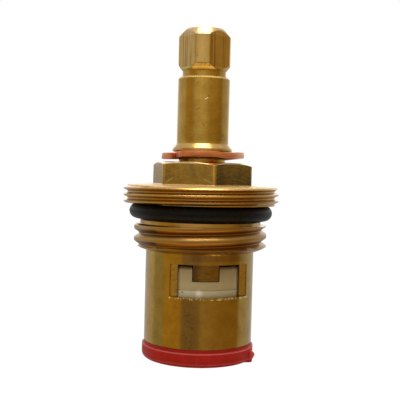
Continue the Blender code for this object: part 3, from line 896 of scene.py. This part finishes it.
def within(signal, low, high, soft):
    """1 between two values of a signal, 0 outside them, soft at both ends."""
    return signal.between(low, low + soft) * (1.0 - signal.between(high - soft, high))


def size_of(signal):
    """The signal without its sign."""
    return signal.math("ABSOLUTE", signal)


def heading_of(recipe):
    return recipe.x.math("ARCTAN2", recipe.x, recipe.y * -1.0) * (180.0 / math.pi)


def scratch(recipe, heading, at, radius, length, lean):
    """Short line on a turned face: at is its (heading, height), lean its slope in degrees."""
    u = (heading - at[0]) * (math.radians(1.0) * radius)
    v = recipe.z - at[1]
    turn = math.radians(lean)
    along = size_of(u * math.cos(turn) + v * math.sin(turn))
    across = size_of(v * math.cos(turn) - u * math.sin(turn))
    outside = recipe.radius.between(radius - 0.5, radius - 0.4)
    thin = 1.0 - across.between(0.02, 0.07)
    short = 1.0 - along.between(length * 0.3, length * 0.5)
    return thin * short * outside


def body_regions(recipe, colour, rings):
    """Crests paler from wear and partly from a painted highlight, painted shade on flanks that
    face down, darker flanks on their left, stains on the hexagon, and painted highlights on the
    flange's top and the hexagon's top edge and painted shade on the tube."""
    heading = heading_of(recipe)
    turns = (recipe.z - lower_thread.start) / lower_thread.pitch - heading / 360.0
    share = turns.math("FRACT", turns)
    threaded = within(recipe.z, LOWER_END + 0.2, LOWER_CUT_TOP + 0.02, 0.06)
    looks_down = within(share, 0.5, 0.88, 0.05) * threaded
    # The lower thread's flanks are darker on its left side.
    left_flank_dark = within(share, 0.62, 0.9, 0.05) * threaded * within(heading, -150.0, DARK_FLANK_HEADING, 3.0)
    crest = recipe.radius.between(11.86, 11.98) + recipe.radius.between(10.3, 10.42) * threaded
    crest = crest.clamped()
    stretched = recipe.vector(recipe.x * 0.7, recipe.y * 0.7, recipe.z * 0.45)
    blotches = recipe.noise(1.0, 4.0, 0.6, stretched)
    hexagon = within(recipe.z, HEX_BASE - 0.1, hexagon_top + 1.0, 0.3)
    beside_corner = within(heading, 1.0, 14.0, 4.0) * hexagon
    stain = (hexagon * blotches.between(0.46, 0.64) * 0.42 + beside_corner * 0.45).clamped()
    on_flange = within(recipe.z, FLANGE_UNDER - 0.1, FLANGE_TOP + 0.1, 0.05)
    collars = within(recipe.z, LOWER_END + 0.2, HEX_BASE, 0.3)
    colour = (collars * 0.6).mix(colour, THREAD_BRASS)
    # The threaded part is darker.
    colour = (threaded * 0.55).mix(colour, DARKER_THREAD)
    # Crests are paler from wear, and partly from a painted highlight along them.
    colour = (crest * 0.7).mix(colour, CREST_WEAR_AND_HIGHLIGHT)
    # Painted shade: the lower thread's flanks that face down are darker and more orange.
    colour = (looks_down * 0.85).mix(colour, DOWN_FLANK_SHADE)
    colour = (left_flank_dark * 0.9).mix(colour, FLANK_GREY)
    colour = stain.mix(colour, STAIN_BROWN)
    # Painted highlight along the hexagon's top edge.
    top_edge = recipe.z.between(hexagon_top - 0.35, hexagon_top - 0.25)
    colour = (top_edge * 0.7).mix(colour, HEX_EDGE_HIGHLIGHT)
    shaded = within(recipe.z, WINDOW_TOP + 0.3, LOWER_END + 0.2, 0.4) * within(heading, -26.0, 40.0, 6.0)
    colour = (shaded * 0.45).mix(colour, SHADED_BRASS)
    for place, lean in (((-53.0, 27.7), 36.0), ((-6.9, 27.7), -27.0)):
        mark = scratch(recipe, heading, place, 7.4, 1.6, lean) * hexagon
        colour = (mark * 0.7).mix(colour, SCRATCH_GOLD)
    top_face = within(recipe.z, FLANGE_TOP - 0.06, HEX_BASE + 0.04, 0.04)
    colour = (top_face * 0.75).mix(colour, PALE_FLANGE)
    colour, rough_cut = window_edges(recipe, colour, heading)
    dull_band = within(heading, -30.0, -16.0, 3.0) * within(recipe.z, 2.0, WINDOW_SILL - 0.6, 0.8)
    flattened = recipe.vector(recipe.x * 1.6, recipe.y * 1.6, recipe.z * 5.0)
    scuffs = recipe.noise(1.0, 4.0, 0.7, flattened)
    colour = (dull_band * scuffs.between(0.5, 0.62) * 0.5).mix(colour, SCUFF_BROWN)
    calm = (on_flange + threaded).clamped()
    height = rings * (1.0 - calm * 0.7) + rough_cut * 3.0
    return colour, height, calm * 0.8, calm * 0.02, top_face * 0.28 + calm * 0.1 + threaded * 0.08


def window_edges(recipe, colour, heading):
    """The milled strips beside the windows, their dark outlines, and bright burrs and chips."""
    ragged = recipe.noise(2.6, 3.0, 0.6)
    deep = size_of(recipe.y)
    tall = within(recipe.z, WINDOW_SILL - 0.02, WINDOW_TOP + 0.02, 0.02)
    strip = within(deep, WINDOW_FLAT - 0.05, WINDOW_FLAT + 0.05, 0.03) * tall
    strip = strip * recipe.radius.between(CHAMBER_RADIUS - 0.1, CHAMBER_RADIUS)
    inner = 1.0 - recipe.radius.between(CHAMBER_RADIUS + 0.02, CHAMBER_RADIUS + 0.1)
    outer = (recipe.radius + (ragged - 0.5) * 0.35).between(TUBE_RADIUS - 0.12, TUBE_RADIUS - 0.06)
    ends = 1.0 - within(recipe.z, WINDOW_SILL, WINDOW_TOP, 0.12)
    outline = (inner + outer + ends).clamped() * strip
    sunny_side = 1.0 - heading.between(0.0, 20.0) * 0.6
    colour = (strip * ragged.between(0.25, 0.75) * sunny_side * 0.8).mix(colour, MILLED_GOLD)
    colour = (outline * 0.8).mix(colour, OUTLINE_BROWN)
    outside = recipe.radius.between(TUBE_RADIUS - 0.15, TUBE_RADIUS - 0.1)
    in_front = 1.0 - size_of(heading).between(46.0, 50.0)
    sill = within(recipe.z, WINDOW_SILL - 0.28, WINDOW_SILL + 0.02, 0.05) * in_front * outside
    under = within(recipe.z, LOWER_END - 0.1, LOWER_END + 0.5, 0.1) * within(heading, -9.0, 18.0, 4.0)
    speckle = recipe.noise(3.4, 2.0, 0.5).between(0.54, 0.58)
    chips = (sill + under).clamped() * speckle
    colour = (chips * 0.85).mix(colour, CHIP_GOLD)
    return colour, strip * ragged * 0.5 + chips


def spindle_regions(recipe, colour, rings):
    """Milling lines on the head, a collar and top chamfer paler from wear and partly from a painted
    highlight, a few scratches, a tongue brown from age and partly from painted shade, and the
    painted gold of the cone and the groove's foot."""
    heading = heading_of(recipe)
    head = recipe.z.between(GROOVE_TOP, GROOVE_TOP + 0.3)
    collar = within(recipe.z, COLLAR_Z - 0.3, FLARE_TOP, 0.2)
    chamfer = recipe.z.between(HEAD_SHOULDER - 0.1, HEAD_SHOULDER + 0.1)
    wear_and_highlight = (collar + chamfer).clamped()
    # The collar and the head's top chamfer are paler, partly from wear and partly from a painted
    # highlight.
    colour = (wear_and_highlight * 0.5).mix(colour, CREST_WEAR_AND_HIGHLIGHT)
    colour = (head * 0.25).mix(colour, HEAD_BRASS)
    grain = grain_lines(recipe)
    flats = within(recipe.z, HEAD_FOOT - 0.6, HEAD_SHOULDER + 0.6, 0.2)
    flats = flats * (1.0 - recipe.radius.between(STEM_RADIUS - 0.05, STEM_RADIUS - 0.03))
    colour = (flats * grain.between(0.5, 0.6) * 0.6).mix(colour, GRAIN_BROWN)
    cone = within(recipe.z, GROOVE_TOP + 0.02, HEAD_FOOT, 0.04)
    cone = cone * recipe.radius.between(GROOVE_RADIUS + 0.05, GROOVE_RADIUS + 0.1) * (1.0 - flats)
    colour = (cone * recipe.z.between(44.8, 45.3)).mix(colour, CONE_GOLD)
    groove_foot = within(recipe.z, SHAFT_TOP + 0.02, GROOVE_FOOT + 0.04, 0.03)
    colour = (groove_foot * 0.6).mix(colour, GROOVE_BRASS)
    dark_lines = scratch(recipe, heading, (-25.9, 38.6), STEM_RADIUS, 0.9, 37.0)
    dark_lines = dark_lines + scratch(recipe, heading, (-12.8, 36.2), STEM_RADIUS, 0.8, -63.0)
    colour = (dark_lines * 0.75).clamped().mix(colour, SCRATCH_BROWN)
    bright_line = scratch(recipe, heading, (-7.4, 40.2), STEM_RADIUS, 0.75, 34.0)
    colour = bright_line.mix(colour, SCRATCH_PALE)
    tongue = 1.0 - recipe.z.between(DRIVE_Z - 0.1, DRIVE_Z + 0.1)
    saw_place = recipe.vector(recipe.x * 0.7, recipe.y * 0.7, recipe.z * 7.0)
    sawn = recipe.noise(1.0, 3.0, 0.6, saw_place)
    # The tongue is brown from age and partly from painted shade, with sawn lines across it.
    colour = (tongue * blend(0.4, 0.9, sawn.between(0.38, 0.62))).mix(colour, TONGUE_AGED_AND_SHADED)
    left_part = tongue * (1.0 - heading.between(-20.0, -13.0)) * 0.5
    colour = left_part.mix(colour, TONGUE_SHADE)
    height = rings * (1.0 - head) * (1.0 - collar * 0.8) + grain * flats * 2.0 + sawn * tongue
    calm = (wear_and_highlight + head).clamped() * 0.85
    return colour, height, calm, wear_and_highlight * 0.4 + chamfer * 0.5, wear_and_highlight * 0.04 + groove_foot * 0.4


def grain_lines(recipe):
    """Fine upright lines that a milling cutter leaves on a flat."""
    place = recipe.vector(recipe.x * 3.4, recipe.y * 3.4, recipe.z * 0.06)
    return recipe.noise(1.0, 1.0, 0.5, place)


body_brass = old_brass("old_body_brass", 0.02, body_regions)
spindle_brass = old_brass("old_spindle_brass", 0.016, spindle_regions)

# %% [markdown]
# ## Copper, rubber, ceramic and plastic
# The other finishes are simpler. Copper is another metal, with the drag marks of its bending
# and a painted highlight on one side. Black rubber is nearly matte, with dust in its pores.
# The red silicone lets a little light in, which softens it, and its neck is given painted
# shade. The ceramic is cream under a clear gloss, darker towards the top and, by painted
# shade, towards one side, with a stray dark speck.
#
# Three things here are painted stand-ins for the light in the photograph too: the pale spot
# on the discs' rims, the pale lines on the seal, and most of the ceramic's change from side
# to side.

# %% Other finishes
SPECK_PLACE = (-33.0, 11.08)
HIGHLIGHT_PLACE = (-13.5, 10.9)
TURNING_CREAM = rgb(0.39, 0.285, 0.115)
TURNING_BROWN = rgb(0.22, 0.14, 0.042)
FIXED_CREAM = rgb(0.54, 0.46, 0.28)
FIXED_BROWN = rgb(0.36, 0.27, 0.115)


def bent_copper():
    recipe = Recipe("bent_copper", Metallic=1.0)
    along = recipe.vector(recipe.x * 0.6, recipe.y * 0.6, recipe.z * 6.0)
    drag = recipe.noise(1.0, 3.0, 0.6, along)
    clouds = recipe.noise(0.9, 3.0, 0.6)
    colour = clouds.between(0.35, 0.68).mix(rgb(0.66, 0.25, 0.11), rgb(0.50, 0.16, 0.06))
    # Painted highlight: one side of the clip is paler.
    paler_side_highlight = heading_of(recipe).between(8.0, 40.0) * 0.5
    colour = paler_side_highlight.mix(colour, rgb(0.86, 0.46, 0.27))
    relief = recipe.bump(drag, 0.02, 0.5)
    return recipe.wear(Base_Color=colour, Roughness=0.3 + drag * 0.15, Normal=relief)


def black_rubber():
    recipe = Recipe("black_rubber", Specular_IOR_Level=0.12)
    dust = recipe.noise(4.5, 2.0, 0.6).between(0.66, 0.74)
    skin_grain = recipe.noise(9.0, 2.0, 0.5)
    colour = (dust * 0.6).mix(rgb(0.003, 0.0026, 0.002), rgb(0.11, 0.10, 0.07))
    relief = recipe.bump(skin_grain, 0.01, 0.4)
    return recipe.wear(Base_Color=colour, Roughness=0.42 + dust * 0.3, Normal=relief)


def red_rubber():
    recipe = Recipe("red_silicone", Subsurface_Weight=0.12, Subsurface_Scale=0.6 * MM,
                    Specular_IOR_Level=0.12)
    recipe.shader.inputs["Subsurface Radius"].default_value = (1.0, 0.25, 0.15)
    clouds = recipe.noise(0.7, 3.0, 0.5)
    fine = recipe.noise(5.0, 2.0, 0.5)
    colour = clouds.between(0.35, 0.7).mix(rgb(0.37, 0.009, 0.002), rgb(0.30, 0.006, 0.002))
    # Painted shade: the neck just above the lip is darker.
    neck = recipe.z.between(LIP_TOP - 0.02, LIP_TOP + 0.06)
    colour = neck.mix(colour, rgb(0.30, 0.005, 0.0008))
    # Painted highlights: paler lines along the lip's top edge and near its foot, and a paler nub.
    edge = within(recipe.z, LIP_TOP - 0.16, LIP_TOP + 0.03, 0.05)
    low_line = within(recipe.z, 0.42, 0.72, 0.12) * 0.3
    nub = recipe.radius.between(LIP_RADIUS + 0.15, LIP_RADIUS + 0.45) * 0.35
    pale = (edge * 0.6 + low_line + nub).clamped() * (1.0 - neck * 0.7)
    colour = pale.mix(colour, rgb(0.55, 0.13, 0.10))
    relief = recipe.bump(fine, 0.008, 0.4)
    return recipe.wear(Base_Color=colour, Roughness=0.42 + fine * 0.1, Normal=relief)


def spot(recipe, heading, height, core, rim):
    """1 within the core's radius of a point on a disc's rim, 0 beyond the rim's radius."""
    middle = on_circle(DISC_RADIUS, heading, height)
    away = recipe.place.node("ShaderNodeVectorMath", {"operation": "DISTANCE"},
                             {0: recipe.place, 1: middle}, output=1)
    return 1.0 - away.between(core, rim)


def fired_ceramic(name, tint, stain, darkening):
    """Cream ceramic. Its last argument says where it is darker, partly as painted shade. The pale spot
    is a painted highlight.
    """
    recipe = Recipe(name, Coat_Roughness=0.08)
    clouds = recipe.noise(0.8, 3.0, 0.5)
    # The second colour is mixed in where the disc is darker, partly as painted shade.
    colour = (darkening(recipe) + (clouds - 0.5) * 0.2).clamped().mix(tint, stain)
    painted_highlight = spot(recipe, *HIGHLIGHT_PLACE, 0.15, 0.75)
    colour = (painted_highlight * 0.8).mix(colour, rgb(0.80, 0.73, 0.55))
    speck = spot(recipe, *SPECK_PLACE, 0.09, 0.15)
    colour = speck.mix(colour, rgb(0.02, 0.015, 0.01))
    coat = 0.6 + clouds * 0.1
    return recipe.wear(Base_Color=colour, Roughness=0.32 + clouds * 0.06, Coat_Weight=coat)


def darker_top_painted_side(recipe):
    """Darker towards the top, and painted shade towards one side."""
    return recipe.z.between(12.2, 14.8) * 0.7 + heading_of(recipe).between(-40.0, 30.0) * 0.5


# Painted shade: the fixed disc is darker towards one side.
def painted_side_shade(recipe):
    return heading_of(recipe).between(-45.0, 40.0)


def slippery_plastic():
    recipe = Recipe("slippery_plastic")
    clouds = recipe.noise(1.2, 2.0, 0.5)
    colour = clouds.mix(rgb(0.78, 0.78, 0.74), rgb(0.70, 0.70, 0.66))
    return recipe.wear(Base_Color=colour, Roughness=0.35 + clouds * 0.1)


copper = bent_copper()
rubber = black_rubber()
silicone = red_rubber()
turning_ceramic = fired_ceramic("cream_ceramic_turning", TURNING_CREAM, TURNING_BROWN, darker_top_painted_side)
fixed_ceramic = fired_ceramic("cream_ceramic_fixed", FIXED_CREAM, FIXED_BROWN, painted_side_shade)
washer_plastic = slippery_plastic()

# %% [markdown]
# ## Putting the pieces on their bodies
# Each piece stands for a CAD node, hides it, and rides on the body that the joint turns or
# holds still. The small inner rings and the washer are never in view, so they keep their CAD
# shape and only get their finish.

# %% Pieces
dressed = [
    (body, "valve_body", "brass", "cartridge", body_brass),
    (flange_ring, "flange_o_ring", "black_rubber", "cartridge", rubber),
    (base_seal, "base_seal", "red_rubber", "cartridge", silicone),
    (fixed_disc, "lower_disc", "ceramic", "cartridge", fixed_ceramic),
    (turning_disc, "upper_disc", "ceramic", "stem", turning_ceramic),
    (spindle, "spindle", "brass", "stem", spindle_brass),
    (clip, "retaining_clip", "copper", "stem", copper),
]
for piece, node, slot_name, body_name, material in dressed:
    piece.data.materials.clear()
    piece.data.materials.append(material)
    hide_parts(node)
    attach(piece, body_name)

kept = {"spindle_o_ring_upper": rubber, "spindle_o_ring_lower": rubber, "thrust_washer": washer_plastic}
for node, material in kept.items():
    for material_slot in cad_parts[node].material_slots:
        material_slot.material = material

# %% [markdown]
# ## Floor, light and camera
# The floor is pale, the surroundings are white and one soft lamp hangs overhead. Metal takes
# its shape from what it mirrors, so it gets more staging, which shows only in reflections: a
# tent of cloth all round, a bright ceiling and a two-coloured ground cloth. The tent has
# three rows of coloured stops by heading. They were set round after round, until the bands
# on the cylinders fell as they do in the photograph. Under plain light those bands are gone.

# %% Floor and surroundings
def white_surroundings():
    world = bpy.data.worlds.new("white_surroundings")
    bpy.context.scene.world = world
    world.use_nodes = True
    tree = world.node_tree
    background = tree.nodes["Background"]
    start = Signal(tree)
    seen = start.node("ShaderNodeLightPath", output=0)
    mirrored = start.node("ShaderNodeLightPath", output=3)
    through = start.node("ShaderNodeLightPath", output=6)
    direct = (seen + mirrored + through).clamped()
    strength = 0.55 + direct * 0.45
    tree.links.new(strength.socket, background.inputs["Strength"])
    background.inputs["Color"].default_value = rgb(1.0, 1.0, 1.0)


def square_sheet(name, half_side):
    """Flat square round the axis, with its half side in millimetres."""
    bm = bmesh.new()
    bmesh.ops.create_grid(bm, x_segments=1, y_segments=1, size=half_side)
    return settled(name, bm, 30.0)


def pale_floor():
    floor = square_sheet("pale_floor", 2000.0)
    floor.location.z = -0.02 * MM
    material, tree = node_material("pale_floor")
    shader = tree.nodes["Principled BSDF"]
    shader.inputs["Base Color"].default_value = rgb(0.8, 0.8, 0.8)
    shader.inputs["Roughness"].default_value = 0.9
    start = Signal(tree)
    seen = start.node("ShaderNodeLightPath", output=0)
    mirrored = start.node("ShaderNodeLightPath", output=3)
    white = start.node("ShaderNodeEmission", None, {"Color": rgb(1.0, 1.0, 1.0), "Strength": 1.04})
    share = (seen + mirrored).clamped() * 0.93
    lit = Signal(tree, shader.outputs[0])
    both = start.node("ShaderNodeMixShader", None, {0: share, 1: lit, 2: white})
    tree.links.new(both.socket, tree.nodes["Material Output"].inputs["Surface"])
    floor.data.materials.append(material)
    floor.visible_glossy = False


white_surroundings()
pale_floor()

# %% Lamps and cloth
CAMERA_HEADING = -13.8


def area_lamp(name, heading, distance, height, size, power):
    """Square lamp at a heading, a distance from the axis and a height, aimed at the object."""
    data = bpy.data.lights.new(name, "AREA")
    data.size = size * MM
    data.energy = power
    lamp = bpy.data.objects.new(name, data)
    bpy.context.scene.collection.objects.link(lamp)
    lamp.location = on_circle(distance, heading, height) * MM
    aim = Vector((0.0, 0.0, 26.0 * MM)) - lamp.location
    lamp.rotation_euler = aim.to_track_quat("-Z", "Y").to_euler()


def glowing(name, colour):
    """Material that only shines. The function colour makes its colour in the new tree."""
    material, tree = node_material(name)
    start = Signal(tree)
    glow = start.node("ShaderNodeEmission", None, {"Color": colour(start), "Strength": 1.0})
    tree.links.new(glow.socket, tree.nodes["Material Output"].inputs["Surface"])
    return material


def for_mirrors_only(piece, material):
    """Stage a card that shows in polished surfaces and lights nothing else."""
    piece.data.materials.append(material)
    piece.visible_camera = False
    piece.visible_diffuse = False
    piece.visible_shadow = False


TENT_RADIUS = 300.0
GROUND_HEIGHT = -220.0
WHITE_CLOTH = (0.85, 0.88, 0.92)
BACK_CLOTH = (0.62, 0.62, 0.62)
SUNLIT_CLOTH = (1.6, 1.55, 1.5)
low_cloth = [
    (-180.0, BACK_CLOTH), (-150.0, BACK_CLOTH), (-130.0, (0.74, 0.74, 0.74)),
    (-112.0, (0.78, 0.78, 0.76)), (-106.0, (0.54, 0.54, 0.48)), (-80.0, (0.50, 0.50, 0.40)),
    (-76.0, (0.68, 0.48, 0.14)), (-38.0, (0.64, 0.46, 0.13)), (-34.0, (0.36, 0.28, 0.24)),
    (0.0, (0.36, 0.28, 0.22)), (6.0, (0.54, 0.42, 0.26)), (50.0, (0.46, 0.31, 0.11)),
    (90.0, (0.42, 0.27, 0.08)), (96.0, (0.62, 0.61, 0.58)), (106.0, (0.64, 0.64, 0.64)),
    (130.0, (0.66, 0.66, 0.66)), (150.0, BACK_CLOTH), (180.0, BACK_CLOTH),
]
middle_cloth = [
    (-180.0, BACK_CLOTH), (-150.0, (0.46, 0.39, 0.31)), (-130.0, (0.62, 0.62, 0.62)),
    (-112.0, WHITE_CLOTH), (-100.0, (0.54, 0.54, 0.48)), (-76.0, (0.60, 0.47, 0.20)),
    (-40.0, (0.42, 0.34, 0.17)), (-30.0, (0.40, 0.33, 0.22)), (10.0, (0.44, 0.36, 0.24)),
    (50.0, (0.34, 0.25, 0.14)), (72.0, (0.115, 0.115, 0.12)), (108.0, (0.10, 0.095, 0.095)),
    (116.0, (0.60, 0.62, 0.62)), (130.0, WHITE_CLOTH), (150.0, BACK_CLOTH), (180.0, BACK_CLOTH),
]
high_cloth = [
    (-180.0, SUNLIT_CLOTH), (-158.0, SUNLIT_CLOTH), (-142.0, WHITE_CLOTH),
    (-112.0, WHITE_CLOTH), (-100.0, (0.84, 0.84, 0.84)), (-86.0, (0.80, 0.78, 0.70)),
    (-80.0, (0.70, 0.54, 0.26)), (-50.0, (0.66, 0.50, 0.22)), (-30.0, (0.94, 0.90, 0.78)),
    (-10.0, (1.05, 0.98, 0.84)), (10.0, (0.92, 0.84, 0.66)), (26.0, (0.70, 0.58, 0.28)),
    (45.0, (0.66, 0.52, 0.20)), (84.0, (0.54, 0.36, 0.12)), (90.0, (0.64, 0.60, 0.54)),
    (104.0, (0.72, 0.71, 0.70)), (142.0, WHITE_CLOTH), (158.0, SUNLIT_CLOTH), (180.0, SUNLIT_CLOTH),
]


def cloth_colour(start):
    """Colour of the tent by heading, from the low cloth up to the high one."""
    x, y, z = start.own_place().axes()
    heading = x.math("ARCTAN2", x, y * -1.0)
    share = heading * (1.0 / (2.0 * math.pi)) + 0.5
    cloths = []
    for stops in (low_cloth, middle_cloth, high_cloth):
        placed = [(angle / 360.0 + 0.5, rgb(*colour)) for angle, colour in stops]
        cloths.append(start.node("ShaderNodeValToRGB", {"stops": placed}, {0: share}))
    lower = z.between(-10.0 * MM, 18.0 * MM).mix(cloths[0], cloths[1])
    return z.between(34.0 * MM, 46.0 * MM).mix(lower, cloths[2])


def tent_of_cloth():
    """Cloth hung all round the object. Its own front faces the camera's side."""
    bm = bmesh.new()
    count = 72
    edges = []
    for i in range(count + 1):
        ends = [on_circle(TENT_RADIUS, 360.0 * i / count, height) for height in (GROUND_HEIGHT, 300.0)]
        edges.append([bm.verts.new(end) for end in ends])
    for near, far in zip(edges, edges[1:]):
        bm.faces.new((near[0], far[0], far[1], near[1]))
    tent = settled("tent_of_cloth", bm, 30.0)
    tent.rotation_euler.z = math.radians(CAMERA_HEADING)
    for_mirrors_only(tent, glowing("tent_of_cloth", cloth_colour))


def ceiling_glow(start):
    """Bright in the middle of the ceiling, fading towards its edges."""
    inputs = {0: start.own_place()}
    from_middle = start.node("ShaderNodeVectorMath", {"operation": "LENGTH"}, inputs, output=1)
    glow = 1.0 - from_middle.between(30.0 * MM, 130.0 * MM)
    return glow.mix(rgb(1.2, 1.2, 1.2), rgb(10.0, 9.8, 9.5))


def bright_ceiling():
    """Strong square overhead, for the highlights on chamfers and on the collar."""
    square = square_sheet("bright_ceiling", 160.0)
    square.location = on_circle(60.0, CAMERA_HEADING, 330.0) * MM
    for_mirrors_only(square, glowing("bright_ceiling", ceiling_glow))


def ground_colour(start):
    """Brown behind the object and pale gold in front of it."""
    _, back, _ = start.own_place().axes()
    behind = back.between(-60.0 * MM, 20.0 * MM)
    return behind.mix(rgb(1.3, 0.95, 0.45), rgb(0.42, 0.33, 0.20))


def ground_cloth():
    """Two-coloured cloth far below, where the undersides of the ridges look."""
    cloth = square_sheet("ground_cloth", TENT_RADIUS)
    cloth.location.z = GROUND_HEIGHT * MM
    cloth.rotation_euler.z = math.radians(CAMERA_HEADING)
    for_mirrors_only(cloth, glowing("ground_cloth", ground_colour))


area_lamp("overhead_lamp", CAMERA_HEADING, 40.0, 340.0, 260.0, 1.2)
tent_of_cloth()
bright_ceiling()
ground_cloth()

# %% Camera
CAMERA_DISTANCE = 122.0
CAMERA_HEIGHT = 28.66
CAMERA_PITCH = 1.89
CAMERA_YAW = 0.074
CAMERA_ROLL = 1.5
FOCAL_PIXELS = 776.5
PHOTO_WIDTH = 400.0


def photo_camera():
    data = bpy.data.cameras.new("camera")
    data.sensor_width = 36.0
    data.lens = data.sensor_width * FOCAL_PIXELS / PHOTO_WIDTH
    data.clip_start = 0.005
    camera = bpy.data.objects.new("camera", data)
    bpy.context.scene.collection.objects.link(camera)
    camera.location = on_circle(CAMERA_DISTANCE, CAMERA_HEADING, CAMERA_HEIGHT) * MM
    level = Matrix.Rotation(math.radians(CAMERA_HEADING + CAMERA_YAW), 4, "Z")
    tilt = Matrix.Rotation(math.radians(90.0 - CAMERA_PITCH), 4, "X")
    roll = Matrix.Rotation(math.radians(CAMERA_ROLL), 4, "Z")
    turned = level @ tilt @ roll
    camera.rotation_euler = turned.to_euler()
    bpy.context.scene.camera = camera


photo_camera()
bpy.context.scene.view_settings.view_transform = "Standard"
